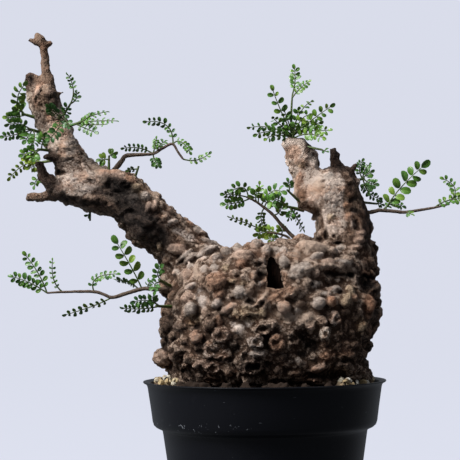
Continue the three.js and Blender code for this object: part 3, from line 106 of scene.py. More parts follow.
# Leafy sprays: how young the leaves are from 0 to 1, the size of the leaflets, whether the twig has
# grown bark, and the twig's rows of x, z, depth y and radius. A frond's row is: start x, z, middle
# x, z, tip x, z, tip's depth y, pairs of leaflets, leaflet length, and the blade's turn away from
# the eye in degrees.
SPRAYS = [
    {"name": "spray_crown_left_top", "age": 0.5, "leaflet": 1.15,
     "twig": [[-113, 231.5, -5, 0.9], [-120, 233.5, -8, 0.6]],
     "fronds": [
        [-119, 233, -122, 241, -117, 249.5, -21, 5, 4.2, 0],
        [-119, 233.5, -121.5, 235.2, -125, 236.3, -14, 2, 4, 10],
        [-118, 232.5, -123, 231.8, -129.5, 231.6, -9, 6, 3.4, 30],
        [-118.5, 233.2, -121, 238, -119.5, 241.5, -2, 3, 4, 0],
     ]},
    {"name": "spray_crown_left_middle", "age": 0.3, "leaflet": 1.12,
     "twig": [[-110.5, 224, -6, 0.9], [-117, 226, -10, 0.6]],
     "fronds": [
        [-116, 225.8, -122, 228.4, -128.6, 227.3, -15, 5, 3.6, 15],
        [-115, 225.5, -122, 223.2, -131, 221.6, -12, 6, 3.2, 25],
        [-116, 226, -119.5, 225.4, -123.5, 224.6, -2, 3, 3.8, 0],
        [-115, 225.2, -117, 221.5, -119.5, 218, -13, 3, 4, 0],
        [-114.5, 225, -113.5, 221, -115.2, 216.5, -17, 4, 3.8, 10],
     ]},
    {"name": "spray_crown_left_low", "age": 0.4, "leaflet": 1.12,
     "twig": [[-106, 215, -9, 0.9], [-112, 215.5, -15, 0.6]],
     "fronds": [
        [-111.5, 215.5, -116, 214, -121.5, 211.8, -19, 4, 3.8, 10],
        [-111, 215.4, -109.4, 219.5, -107.5, 224, -21, 4, 4, 0],
        [-111.7, 215.5, -113.6, 213, -114, 209.6, -21, 3, 4, 0],
     ]},
    {"name": "spray_crown_left_yellow", "age": 0.85, "leaflet": 1.1,
     "twig": [[-104, 210, 0, 0.9], [-111, 208.8, 4, 0.6]],
     "fronds": [
        [-110.5, 208.9, -119, 207.6, -127, 199.8, 1, 6, 3.2, 25],
        [-110.8, 208.8, -116, 210.8, -120.5, 210, 7, 3, 4, 0],
        [-111, 208.8, -114.5, 206.8, -118, 206.2, -3, 3, 3.8, 10],
     ]},
    {"name": "spray_arm_end", "age": 0.3, "leaflet": 1,
     "twig": [[-100, 197, 4, 0.7], [-107, 200, 8, 0.5]],
     "fronds": [[-106.5, 199.8, -112, 200.6, -113.6, 195, 9, 4, 3.4, 0]]},
    {"name": "spray_crown_right", "age": 0.3, "leaflet": 0.95,
     "twig": [[-97.5, 226.6, -6, 0.9], [-91.5, 228.6, -10, 0.6]],
     "fronds": [
        [-93, 228.7, -84, 229.4, -71, 229.3, -12, 7, 3, 45], [-92.5, 228.6, -88.5, 226, -81, 222.8, -16, 4, 4, 10],
        [-92, 228.8, -84, 232.4, -75.5, 234.2, -6, 5, 3, 35],
        [-92.5, 228.8, -88, 230.3, -84.5, 234, -18, 3, 3.4, 20],
        [-92, 228.6, -84, 227.6, -77, 227.8, -21, 4, 2.6, 20],
     ]},
    {"name": "spray_crown_right_up", "age": 0.3, "leaflet": 1,
     "twig": [[-99, 232.5, -1, 0.7], [-95, 239, 1, 0.5]],
     "fronds": [
        [-95, 239, -94.2, 246.5, -97.7, 254.2, 0, 6, 2.8, 30], [-95.4, 238.4, -92.6, 241, -93.2, 245.5, 4, 3, 3, 20],
     ]},
    {"name": "spray_crown_front", "age": 0.05, "leaflet": 0.95,
     "twig": [[-101.5, 231, -9, 0.9], [-100.8, 232.5, -18, 0.6]],
     "fronds": [
        [-99.3, 231, -102, 225.4, -108.5, 219.3, -27, 6, 4.4, 5],
        [-99.3, 231, -104, 234.5, -108.3, 238.3, -22, 5, 4.2, 10],
        [-99.3, 231, -97.6, 234.5, -99, 239, -21, 3, 4, 0], [-99.3, 231, -97, 228.6, -97, 225.2, -24, 3, 3.8, 0],
     ]},
    {"name": "spray_arm_top", "age": 0.55, "leaflet": 1,
     "twig": [[-76.5, 204.5, -9, 0.8], [-76.4, 211.5, -10, 0.5]],
     "fronds": [
        [-76.4, 209.5, -79, 210.2, -83.3, 209, -10, 2, 4.2, 0], [-76.4, 211, -75, 212.6, -71.5, 213.2, -10, 2, 4, 0],
     ]},
    {"name": "spray_brown_twig", "age": 0.3, "leaflet": 0.95, "woody": True,
     "twig": [[-74, 204.5, -3, 1.5], [-70.2, 209.2, -3, 1.3], [-68.2, 211.8, -3, 1.1], [-64, 212.3, -3, 0.9],
             [-54.5, 212.8, -3, 0.8], [-50, 215.3, -3, 0.75], [-44.8, 217.6, -3, 0.7], [-42, 213.6, -3, 0.6],
             [-39.5, 210, -3, 0.5]],
     "fronds": [
        [-55, 212.8, -62, 215.8, -71, 215.3, -4, 6, 3, 30], [-54, 213, -53.2, 217.4, -52.5, 222, -6, 4, 2.8, 30],
        [-53, 213.8, -50.5, 217.6, -46.5, 219.4, 2, 3, 3.4, 20],
        [-44.8, 217.6, -48, 227.2, -60, 228.5, -3, 7, 3.6, 30],
        [-44.8, 217.6, -40.3, 218.6, -35, 211.8, -7, 6, 3.2, 30], [-39.5, 210, -32, 209.6, -25, 213.8, -3, 5, 3, 30],
        [-54.5, 212.8, -53, 208.5, -49.7, 205.8, -4, 5, 3.6, 0],
     ]},
    {"name": "spray_arm_leaf", "age": 0.3, "leaflet": 1,
     "twig": [[-64, 199.5, -9, 0.7], [-62, 205.5, -10, 0.5]],
     "fronds": [[-62.3, 204.8, -65, 205, -68.5, 204, -10, 2, 2.8, 50]]},
    {"name": "spray_arm_under", "age": 0.3, "leaflet": 1,
     "twig": [[-86, 187, 3, 0.7], [-86, 181.5, 4, 0.5]],
     "fronds": [[-86, 184.4, -86.8, 182.8, -86.2, 180.4, 3, 1, 2.6, 0]]},
    {"name": "spray_lower_left", "age": 0.4, "leaflet": 1.15, "woody": True,
     "twig": [[-48, 145.3, -5, 1.2], [-56, 145.4, -6, 1.1], [-60, 145.6, -6, 1], [-68, 143.4, -6, 0.95],
             [-75, 141.4, -6, 0.85], [-79, 142.8, -6, 0.75], [-85, 144.4, -6, 0.7], [-100, 144.3, -6, 0.6],
             [-107.5, 143.9, -6, 0.5]],
     "fronds": [
        [-61, 145.4, -66, 157, -74.8, 172, -10, 5, 6, 0], [-61.5, 145.3, -67, 148.8, -74.5, 150, -3, 6, 3.2, 55],
        [-57, 145.4, -57, 148, -54.5, 149.6, -9, 2, 2.6, 20], [-75, 141.4, -86, 136.8, -100, 132.6, -7, 7, 3, 45],
        [-84.8, 144.4, -82.8, 151.2, -71, 153, -8, 7, 3, 35],
        [-100.5, 144.3, -104.3, 151, -104.5, 161.3, -8, 6, 2, 20],
        [-107.5, 143.9, -112, 154, -119.5, 164.5, -6, 7, 3.6, 0],
        [-107.5, 143.9, -117, 149.5, -127, 152.6, -8, 7, 3.8, 0],
     ]},
    {"name": "spray_caudex_left_low", "age": 0.3, "leaflet": 1.12,
     "twig": [[-46, 136.5, -16, 0.9], [-53.5, 137, -23, 0.6]],
     "fronds": [
        [-53, 137, -62, 135.6, -71.5, 136.4, -24, 7, 3.2, 35], [-53, 137, -59, 139.9, -66, 138, -27, 5, 3.6, 10],
        [-53, 137, -55, 140.5, -53, 143.6, -27, 3, 3.6, 0],
     ]},
    {"name": "spray_caudex_left_high", "age": 0.3, "leaflet": 1,
     "twig": [[-46.5, 147, -17, 0.9], [-52, 150, -25, 0.6]],
     "fronds": [
        [-52, 150, -52.5, 153.6, -49, 157.5, -28, 3, 4.2, 0], [-52, 150, -54, 147.6, -52.6, 144.4, -33, 3, 4, 0],
     ]},
    {"name": "spray_middle", "age": 0.42, "leaflet": 1.25, "woody": True,
     "twig": [[18.5, 167, 14, 1.1], [13.5, 172.3, 16, 1], [9, 177, 15, 0.9], [4.5, 182.3, 14, 0.8],
             [-3, 188.2, 13, 0.65], [-8, 190.8, 12, 0.5]],
     "fronds": [
        [-7.5, 190.6, -9.8, 195.5, -16.5, 193.2, 9, 4, 3.4, 15], [-8, 190.8, -14, 191.9, -21, 192.2, 12, 5, 3, 35],
        [-6.5, 190, -13, 187.9, -21, 187.2, 15, 5, 3.6, 15], [-3, 188.2, -3.4, 192, -1, 195, 8, 3, 4, 0],
        [-2.5, 188, -1.9, 193, -1.4, 198.5, 15, 3, 2.4, 10], [-1, 187, 5, 193.6, 11.5, 192, 8, 5, 3.8, 10],
        [1, 185.5, 3, 188.6, 6.5, 186, 5, 4, 4.4, 0], [5, 181.8, 8.6, 183.6, 9.8, 189.5, 11, 4, 3.6, 0],
        [1, 185, -0.9, 180, 1.5, 173.8, 20, 5, 2.8, 20],
     ]},
    {"name": "spray_caudex_top", "age": 0.6, "leaflet": 1.1, "woody": True,
     "twig": [[15, 162, 27, 0.9], [12.5, 170.5, 29, 0.8], [7, 172.5, 29, 0.6], [2, 172.9, 29, 0.5]],
     "fronds": [
        [2, 172.9, -5, 176.4, -17.8, 181.3, 29, 7, 2.6, 45], [8, 172.2, 2, 173.6, -5, 171.2, 32, 5, 4.2, 0],
        [10, 171.7, 6.5, 169.6, 0.5, 170.8, 36, 4, 4, 0], [9, 172, 9.4, 174.2, 6.5, 176, 27, 3, 3.6, 0],
     ]},
    {"name": "spray_arm_right_inner", "age": 0.3, "leaflet": 1,
     "twig": [[19, 184.2, 8, 1], [11.5, 186, 4, 0.6]],
     "fronds": [
        [12, 185.8, 8, 189, 3.5, 189.6, 0, 4, 3.8, 0], [13.5, 185.4, 17, 180, 20.8, 172.6, 20, 6, 3.2, 25],
        [13, 185.5, 14, 182, 11.6, 178.4, 2, 4, 3, 10],
     ]},
    {"name": "spray_arm_right_side", "age": 0.3, "leaflet": 1,
     "twig": [[17, 189.5, -3, 0.7], [12.6, 193.8, -6, 0.5]],
     "fronds": [[12.8, 193.6, 13.2, 197, 11.6, 200.2, -7, 3, 3.4, 10]]},
    {"name": "spray_rosette", "age": 0.42, "leaflet": 1.05,
     "twig": [[15.6, 219, 2, 1], [14.6, 228, 2, 0.75], [14.9, 236, 2, 0.55], [15.4, 242, 2, 0.4]],
     "fronds": [
        [15.4, 242, 16.8, 250, 15.9, 257.3, 1, 5, 3.6, 20], [15.2, 221, 8.4, 236.5, 4.9, 247, -3, 5, 4.4, 0],
        [15.2, 240, 19.5, 245.2, 25, 249, -1, 5, 2.8, 25], [15, 223, 20, 234, 26.3, 238.8, 10, 5, 2.8, 30],
        [15, 221.5, 26.5, 230.2, 36.8, 237.2, -4, 6, 4.2, 0], [15, 220.6, 20, 229.6, 25.5, 231.4, -12, 3, 3.6, 0],
        [15, 220.8, 23, 225.6, 31, 228, 6, 5, 3.8, 0], [14.8, 224.4, 25, 223.6, 35.4, 224, -3, 6, 3.6, 0],
        [15.4, 219.8, 24, 222, 32.2, 218.8, -11, 5, 4, 0], [15.4, 220.2, 4, 223.4, -4.4, 220.8, -3, 6, 3.4, 20],
        [15.4, 219.6, 7, 221.6, 0.8, 218.6, -10, 4, 3.6, 10], [15.2, 220.8, 3, 225.6, -7.8, 225, 8, 6, 3, 25],
        [15.2, 221, 8, 227.8, 5.5, 230.4, -10, 4, 3.2, 15], [15, 221.5, 12.2, 231, 11, 234.5, -7, 3, 3.8, 0],
        [15, 221.5, 17.8, 231.4, 18.4, 235.4, -8, 3, 3.8, 0],
     ]},
    {"name": "spray_right_back", "age": 0.3, "leaflet": 1,
     "twig": [[44.5, 198, 8, 0.9], [50.8, 199.6, 10, 0.6]],
     "fronds": [
        [50, 199.4, 48.4, 205, 51.2, 209.5, 9, 5, 3, 15], [50.2, 199.4, 51.6, 204.6, 54.6, 207, 15, 4, 2.6, 25],
        [50.4, 199.5, 52.6, 202, 56.3, 203.4, 8, 3, 3.6, 10], [50.6, 199.6, 54, 197, 58.3, 196.6, 5, 4, 3.8, 0],
        [50.4, 199.5, 53.4, 192, 60, 189.2, 12, 6, 3.2, 15], [50.2, 199.4, 51.6, 195, 53.2, 191.2, 2, 3, 3.8, 0],
     ]},
    {"name": "spray_right_small", "age": 0.3, "leaflet": 1,
     "twig": [[50, 187.6, 10, 0.7], [57, 186.8, 14, 0.5]],
     "fronds": [[56.5, 186.8, 58.5, 186.8, 60.8, 185.4, 15, 2, 2.8, 10]]},
    {"name": "spray_right_long", "age": 0.4, "leaflet": 1.25, "woody": True,
     "twig": [[50.5, 182, 3, 1.1], [58, 183.6, 3, 1], [65, 183, 3, 0.9], [70.5, 182.5, 3, 0.85], [78, 183.5, 3, 0.7],
             [86, 184.8, 3, 0.6], [92, 186.2, 3, 0.5]],
     "fronds": [
        [60, 183.6, 65, 186.8, 71, 184.4, 7, 5, 2.8, 25], [60.5, 183.6, 69, 195, 83, 207.7, -1, 6, 6, 0],
        [71, 182.5, 73, 182, 75, 180.6, 0, 2, 2.4, 20], [86, 184.8, 94, 188.6, 106, 188.5, 3, 7, 3.4, 30],
        [92, 186.2, 95.8, 194, 88.5, 199.5, 5, 6, 2.8, 15],
     ]},
    {"name": "spray_right_notch", "age": 0.3, "leaflet": 1,
     "twig": [[22.5, 215.6, -1, 0.7], [30, 214, -5, 0.5]],
     "fronds": [[29.4, 214.1, 31, 213.6, 33.4, 212.4, -7, 1, 2.6, 30]]},
]

# Knobs of the trunk as the camera sees them: column, row, width, height, turn in degrees, how proud
# they stand as a share of their size, and tone. Columns and rows are those of a frame of 460 by 460.
KNOBS = [
    # upper edge of the caudex, left to right
    [196, 231, 11, 5, -20, 0.4, "rust"], [203, 235, 16, 6, -12, 0.4, "brown"], [208, 241, 17, 7, -8, 0.42, "grey"],
    [212, 245, 15, 9, 12, 0.45, "pale"], [208, 252, 23, 10, 25, 0.5, "pale"], [215, 259, 16, 8, 22, 0.45, "pale"],
    [226, 252, 12, 10, 0, 0.5, "grey"], [237, 247, 10, 12, 0, 0.62, "grey"], [241, 256, 22, 14, 0, 0.3, "pink"],
    [241, 264, 13, 10, 10, 0.3, "rust"], [256, 246, 13, 13, 0, 0.5, "grey"], [266, 251, 10, 13, -10, 0.5, "pale"],
    [276, 250, 10, 8, 0, 0.45, "grey"], [284, 251, 9, 10, 0, 0.4, "pale"], [284, 262, 10, 13, 10, 0.35, "grey"],
    [280, 274, 8, 10, 0, 0.3, "tan"], [262, 262, 8, 9, 0, 0.3, "grey"], [253, 257, 8, 10, 10, 0.3, "tan"],
    # the smooth mass right of the wound
    [309, 249, 38, 27, 8, 0.2, "tan"], [301, 271, 27, 17, 24, 0.34, "grey"], [317, 256, 14, 7, 20, 0.5, "grey"],
    [332, 253, 12, 12, 0, 0.5, "tan"], [340, 248, 10, 7, 15, 0.4, "grey"], [318, 240, 13, 9, 0, 0.35, "tan"],
    [327, 262, 16, 7, 4, 0.35, "pink"], [343, 263, 18, 8, -4, 0.4, "grey"], [356, 267, 12, 8, -20, 0.4, "brown"],
    [316, 273, 9, 8, 0, 0.42, "pink"], [307, 282, 11, 9, 20, 0.42, "tan"], [316, 284, 9, 7, 10, 0.35, "grey"],
    [337, 280, 7, 4, 15, 0.5, "pale"], [334, 290, 17, 8, 18, 0.4, "grey"], [326, 294, 11, 6, 10, 0.35, "grey"],
    [350, 290, 10, 11, 0, 0.4, "yellow"], [355, 298, 7, 8, 0, 0.35, "rust"],
    # the cluster of round knobs at the right
    [319, 303, 14, 13, 10, 0.55, "grey"], [331, 302, 11, 11, 0, 0.6, "rust"], [346, 300, 11, 15, -8, 0.42, "yellow"],
    [307, 318, 13, 9, 20, 0.25, "tan"], [300, 323, 9, 7, 0, 0.25, "tan"], [310, 327, 9, 6, 0, 0.35, "pink"],
    [297, 310, 5, 5, 0, 0.5, "pale"], [344, 312, 12, 14, 0, 0.2, "brown"], [327, 342, 8, 5, 0, 0.3, "brown"],
    # right edge, where the black knobs are painted shade on the side turned from the light
    [370, 304, 13, 19, 0, 0.36, "rust"], [361, 326, 10, 17, -8, 0.4, "yellow"], [381, 302, 8, 9, 0, 0.6, "black"],
    [379, 276, 7, 12, 0, 0.8, "black"], [379, 263, 7, 9, 0, 0.7, "umber"], [377, 314, 8, 11, 0, 0.4, "black"],
    [375, 323, 8, 8, 0, 0.5, "black"], [375, 337, 9, 9, 0, 0.6, "black"], [371, 348, 9, 9, 0, 0.55, "black"],
    [367, 362, 8, 9, 0, 0.4, "black"], [362, 372, 9, 7, 0, 0.4, "brown"], [376, 286, 8, 22, 0, 0.42, "black"],
    [376, 262, 8, 12, 0, 0.4, "brown"], [374, 250, 8, 12, 0, 0.35, "brown"], [366, 274, 14, 7, -15, 0.3, "rust"],
    [369, 290, 8, 8, 0, 0.3, "brown"],
    # middle of the caudex
    [240, 292, 15, 14, 0, 0.22, "grey"], [229, 297, 11, 7, 25, 0.35, "tan"], [229, 308, 18, 8, 34, 0.42, "pink"],
    [217, 303, 9, 14, -30, 0.4, "pale"], [216, 281, 22, 23, 0, 0.32, "rust"], [219, 294, 13, 9, 30, 0.35, "rust"],
    [284, 307, 13, 13, 0, 0.42, "pink"], [290, 294, 22, 9, 30, 0.34, "tan"], [276, 303, 10, 9, 0, 0.25, "tan"],
    [300, 303, 10, 8, 0, 0.25, "brown"], [262, 314, 9, 11, 0, 0.4, "yellow"], [237, 330, 15, 10, 10, 0.25, "pale"],
    [267, 331, 10, 9, 0, 0.4, "rust"], [269, 318, 12, 7, 25, 0.3, "tan"], [235, 273, 12, 9, 0, 0.3, "tan"],
    [246, 272, 11, 9, 20, 0.32, "tan"], [254, 276, 7, 12, -25, 0.5, "tan"], [232, 281, 9, 6, 0, 0.35, "yellow"],
    [243, 283, 8, 5, 0, 0.35, "yellow"], [261, 283, 6, 6, 0, 0.5, "pale"], [249, 291, 7, 9, 0, 0.4, "brown"],
    [226, 268, 8, 8, 0, 0.3, "yellow"], [230, 260, 8, 8, 0, 0.3, "tan"],
    # left side
    [177, 249, 21, 12, -10, 0.4, "pink"], [186, 255, 17, 6, 38, 0.45, "grey"], [192, 258, 19, 6, 38, 0.45, "pale"],
    [187, 275, 12, 13, 0, 0.55, "pink"], [176, 272, 10, 6, 10, 0.4, "pale"], [190, 266, 8, 6, 15, 0.4, "pale"],
    [205, 269, 11, 9, 0, 0.36, "grey"], [214, 268, 10, 9, 0, 0.36, "grey"], [208, 262, 8, 6, 0, 0.35, "tan"],
    [176, 286, 13, 16, 0, 0.34, "brown"], [191, 286, 14, 7, 24, 0.42, "pale"], [203, 283, 9, 13, 0, 0.42, "brown"],
    [187, 298, 17, 11, 28, 0.36, "pink"], [191, 309, 13, 15, 0, 0.62, "grey"], [178, 301, 9, 9, 0, 0.35, "brown"],
    [171, 296, 8, 12, 0, 0.35, "brown"], [206, 312, 10, 10, 0, 0.4, "brown"], [216, 316, 8, 9, 0, 0.4, "brown"],
    [168, 324, 16, 17, 0, 0.5, "umber"], [180, 327, 13, 10, 0, 0.42, "umber"], [193, 320, 15, 12, 0, 0.24, "yellow"],
    [209, 324, 13, 13, 0, 0.5, "brown"], [219, 321, 8, 12, 0, 0.36, "rust"], [193, 329, 12, 5, 0, 0.3, "tan"],
    [164, 341, 13, 11, 0, 0.45, "umber"], [173, 336, 10, 9, 0, 0.4, "brown"], [196, 337, 13, 13, 0, 0.6, "pink"],
    [184, 340, 12, 7, 15, 0.4, "brown"], [188, 349, 13, 9, 0, 0.4, "brown"], [200, 346, 11, 8, 0, 0.42, "umber"],
    [163, 358, 20, 18, 0, 0.42, "pink"], [190, 356, 18, 8, 15, 0.36, "brown"], [199, 363, 17, 8, 30, 0.36, "pink"],
    [186, 366, 9, 7, 0, 0.5, "brown"], [190, 377, 17, 12, 0, 0.3, "umber"], [171, 370, 15, 9, 0, 0.36, "umber"],
    [227, 355, 9, 14, -35, 0.35, "tan"], [240, 358, 6, 17, -28, 0.45, "tan"], [256, 353, 18, 9, 0, 0.4, "pale"],
    [232, 343, 8, 9, 0, 0.3, "tan"], [247, 334, 11, 7, 10, 0.25, "tan"], [213, 376, 16, 9, 0, 0.32, "brown"],
    [230, 371, 14, 9, 0, 0.32, "brown"], [205, 336, 7, 9, 0, 0.3, "brown"],
    # low right
    [325, 357, 13, 10, 10, 0.3, "rust"], [318, 368, 16, 9, 25, 0.45, "pink"], [346, 355, 20, 8, 0, 0.34, "brown"],
    [350, 345, 18, 7, 0, 0.34, "brown"], [341, 364, 18, 7, 0, 0.3, "umber"], [359, 355, 9, 10, 0, 0.34, "umber"],
    [310, 379, 16, 6, 5, 0.4, "pink"], [279, 370, 14, 9, 0, 0.32, "umber"], [293, 373, 12, 8, 0, 0.32, "brown"],
    [267, 366, 10, 9, 0, 0.3, "umber"], [283, 357, 13, 9, 0, 0.3, "umber"], [298, 360, 6, 6, 0, 0.4, "grey"],
    [296, 341, 11, 8, 0, 0.3, "brown"], [333, 346, 12, 6, 0, 0.25, "brown"], [350, 333, 12, 7, 0, 0.2, "brown"],
    # left arm
    [103, 172, 10, 8, 0, 0.36, "pink"], [115, 172, 11, 9, 0, 0.36, "pink"], [122, 175, 9, 8, 0, 0.42, "pink"],
    [129, 177, 8, 7, 0, 0.42, "rust"], [133, 180, 8, 6, 0, 0.3, "rust"], [137, 188, 15, 10, 0, 0.3, "yellow"],
    [148, 187, 12, 8, -35, 0.22, "tan"], [158, 195, 11, 8, -35, 0.28, "tan"], [133, 197, 13, 9, 0, 0.42, "grey"],
    [145, 196, 9, 10, 0, 0.42, "grey"], [148, 207, 6, 12, -15, 0.5, "pink"], [154, 206, 6, 13, -15, 0.5, "pink"],
    [161, 205, 7, 10, -20, 0.4, "tan"], [168, 210, 13, 8, -35, 0.42, "pink"], [172, 222, 14, 7, 20, 0.42, "pale"],
    [165, 217, 9, 7, 20, 0.36, "tan"], [178, 217, 10, 7, -30, 0.3, "tan"], [192, 223, 11, 5, -20, 0.45, "rust"],
    [197, 229, 11, 8, -20, 0.4, "grey"], [189, 231, 9, 7, -20, 0.3, "tan"], [139, 218, 9, 5, 0, 0.4, "brown"],
    [147, 223, 13, 6, 0, 0.36, "rust"], [126, 208, 14, 6, -10, 0.3, "brown"], [113, 199, 18, 6, -25, 0.3, "tan"],
    [112, 206, 14, 5, -20, 0.3, "brown"], [128, 237, 9, 8, 0, 0.4, "umber"], [134, 243, 8, 7, 0, 0.4, "umber"],
    [119, 214, 10, 6, -25, 0.3, "umber"], [160, 246, 7, 11, 0, 0.28, "yellow"], [166, 261, 9, 8, 0, 0.3, "brown"],
    [90, 178, 14, 6, 0, 0.34, "tan"], [74, 180, 9, 6, 10, 0.22, "pale"], [86, 189, 14, 7, 0, 0.2, "pale"],
    [54, 204, 10, 6, 0, 0.4, "umber"], [74, 202, 12, 6, -20, 0.25, "brown"], [92, 207, 12, 5, -10, 0.25, "brown"],
    [142, 232, 12, 8, -40, 0.25, "umber"], [155, 233, 10, 8, -40, 0.25, "umber"],
    [150, 251, 10, 8, -40, 0.3, "umber"],
    # upper arm
    [53, 77, 7, 7, 0, 0.5, "brown"], [50, 94, 10, 11, 0, 0.4, "umber"], [54, 101, 8, 9, 0, 0.4, "umber"],
    [37, 94, 6, 19, -10, 0.4, "pink"], [31, 76, 9, 8, 20, 0.4, "umber"], [38, 80, 8, 9, 20, 0.4, "brown"],
    [26, 86, 7, 11, 0, 0.4, "umber"], [29, 72, 9, 7, 10, 0.9, "umber"], [36, 73, 7, 6, 0, 0.8, "brown"],
    [43, 108, 11, 8, 0, 0.2, "tan"], [50, 118, 7, 9, 0, 0.42, "rust"], [41, 122, 9, 13, 0, 0.3, "umber"],
    [58, 135, 12, 6, 25, 0.22, "tan"], [67, 158, 16, 5, 15, 0.25, "tan"], [80, 160, 10, 5, 20, 0.25, "brown"],
    [46, 87, 9, 10, 0, 0.3, "tan"], [58, 168, 9, 9, 0, 0.3, "umber"],
    # right arm
    [293, 152, 17, 15, 0, 0.12, "rust"], [299, 180, 8, 17, -12, 0.42, "rust"], [302, 165, 9, 7, 20, 0.36, "yellow"],
    [328, 175, 11, 9, 0, 0.5, "grey"], [331, 217, 9, 7, 0, 0.4, "yellow"], [350, 194, 9, 8, 0, 0.42, "rust"],
    [347, 205, 9, 6, 0, 0.42, "rust"], [349, 217, 11, 10, 0, 0.42, "rust"], [361, 233, 13, 7, 8, 0.42, "pink"],
    [359, 240, 13, 7, 5, 0.42, "pink"], [356, 247, 14, 6, 5, 0.42, "pink"], [353, 253, 14, 5, 5, 0.4, "tan"],
    [312, 190, 8, 6, 0, 0.3, "tan"], [301, 195, 9, 10, 0, 0.3, "brown"], [313, 206, 11, 9, 0, 0.3, "brown"],
    [333, 205, 9, 6, 0, 0.2, "pale"], [320, 226, 8, 12, 0, 0.3, "tan"], [346, 174, 11, 8, 10, 0.4, "brown"],
    [353, 168, 6, 8, 0, 0.9, "umber"], [347, 169, 6, 7, 0, 0.8, "umber"], [356, 176, 7, 9, 0, 0.7, "umber"],
    [334, 236, 9, 7, 0, 0.25, "tan"], [368, 232, 8, 11, 0, 0.35, "umber"], [364, 214, 8, 11, 0, 0.35, "umber"],
    [362, 199, 8, 10, 0, 0.35, "umber"], [297, 206, 9, 6, -30, 0.4, "umber"], [303, 136, 9, 6, 0, 0.4, "umber"],
    [318, 163, 5, 4, 0, 0.5, "tan"], [322, 171, 5, 5, 0, 0.5, "tan"],
]

# Rings with a sunken dark middle: column, row, width, height, turn, how proud, tone
RINGS = [
    [333, 319, 13, 16, 0, 0.5, "pale"], [322, 321, 9, 10, 0, 0.5, "brown"], [325, 334, 11, 14, 0, 0.55, "white"],
    [277, 343, 17, 18, 0, 0.36, "rust"], [256, 342, 18, 16, 0, 0.34, "pale"], [213, 367, 18, 14, 5, 0.36, "pink"],
    [222, 335, 20, 16, 0, 0.34, "pink"], [171, 353, 10, 9, 0, 0.36, "brown"], [101, 182, 11, 7, 20, 0.36, "tan"],
    [28, 82, 9, 13, 0, 0.4, "umber"],
]

# Puckered lips around a dark slit: column, row, width, height, turn, how proud, tone
MOUTHS = [
    [247, 314, 31, 16, 0, 0.3, "yellow"], [264, 328, 27, 15, 22, 0.32, "tan"], [215, 351, 26, 17, 3, 0.36, "pale"],
    [253, 366, 30, 19, 5, 0.3, "umber"], [90, 198, 15, 9, -5, 0.3, "brown"],
]

# Raised folds: width in frame units, how proud, tone, points
FOLDS = [
    [7, 0.3, "tan", [[286, 290], [296, 283], [312, 268], [330, 265], [347, 267], [358, 273]]],
    [6, 0.45, "brown", [[330, 347], [345, 342], [357, 346], [365, 353]]],
    [6, 0.45, "brown", [[262, 303], [274, 297], [286, 291], [300, 289]]],
    [5, 0.5, "tan", [[268, 291], [262, 300], [253, 306]]], [6, 0.45, "brown", [[334, 353], [348, 349], [361, 356]]],
    [5, 0.45, "brown", [[105, 190], [114, 193], [122, 200], [127, 208]]],
    [5, 0.4, "brown", [[100, 197], [110, 202], [118, 209]]],
    [5, 0.45, "brown", [[292, 164], [299, 161], [307, 163]]],
    [5, 0.4, "brown", [[323, 200], [319, 212], [322, 226], [324, 238]]],
    [4, 0.45, "tan", [[57, 145], [67, 148], [77, 146]]], [4, 0.45, "tan", [[58, 155], [70, 157], [84, 153]]],
    [5, 0.45, "umber", [[200, 366], [214, 358], [229, 361]]],
]

# Hollows pressed into the bark: column, row, width, height, turn, depth in mm, and how dark the painted shade in them
# is. The wide shallow rows on the left arm are mostly painted shade on its underside.
HOLLOWS = [
    [367, 283, 24, 22, -15, 4.4, 1], [378, 248, 8, 14, 0, 0.3, 0.8], [338, 274, 38, 7, -4, 1.8, 0.7],
    [298, 337, 24, 15, 25, 1.6, 0.8], [311, 346, 22, 17, -20, 1.9, 0.85], [301, 354, 18, 9, 0, 1.3, 0.7],
    [250, 302, 12, 8, 0, 2, 0.8], [262, 303, 9, 6, 0, 1.5, 0.7], [236, 348, 13, 10, 20, 1.3, 0.8],
    [200, 352, 13, 6, 10, 1.6, 0.7], [253, 367, 20, 9, 5, 2, 0.8], [178, 313, 9, 7, 0, 1.6, 0.8],
    [197, 327, 9, 7, 0, 1.5, 0.8], [312, 284, 6, 5, 0, 1.4, 0.8], [340, 292, 6, 4, 20, 1, 0.8],
    [352, 275, 9, 6, 0, 2, 0.8], [261, 270, 14, 20, 10, 1.8, 0.9], [124, 189, 24, 18, 0, 1.3, 0.8],
    [131, 211, 16, 7, -25, 0.8, 0.7], [110, 190, 70, 26, -20, 0.1, 0.5], [143, 224, 8, 4, 0, 1, 0.7],
    [353, 200, 12, 8, 35, 0.9, 0.8], [355, 211, 12, 9, -25, 0.9, 0.8], [356, 225, 9, 14, 10, 0.9, 0.75],
    [351, 190, 7, 16, 20, 0.6, 0.7], [323, 181, 9, 5, 20, 0.7, 0.5], [316, 213, 14, 12, 20, 2, 0.7],
    [334, 236, 5, 5, 0, 1.2, 0.8], [326, 234, 6, 14, 0, 1.4, 0.7], [60, 173, 18, 6, 10, 1.6, 0.7],
    [36, 100, 4, 12, 0, 1, 0.7], [325, 375, 60, 14, 0, 2, 0.8], [286, 382, 60, 8, 0, 1.4, 0.8],
    [184, 371, 10, 5, 0, 1.4, 0.8], [300, 245, 3, 20, 20, 0.3, 0.1], [196, 243, 14, 3, -12, 0.8, 0.5],
    [181, 262, 22, 4, 35, 1, 0.6], [122, 191, 56, 30, -30, 0.3, 0.92], [136, 214, 80, 36, -42, 0.3, 0.98],
    [84, 203, 60, 9, -8, 0.2, 0.6], [156, 234, 56, 26, -42, 0.2, 0.95], [338, 243, 14, 4, 0, 1.4, 0.7],
    [344, 322, 5, 22, -10, 0.8, 0.3], [213, 316, 24, 5, 20, 0.6, 0.4],
]
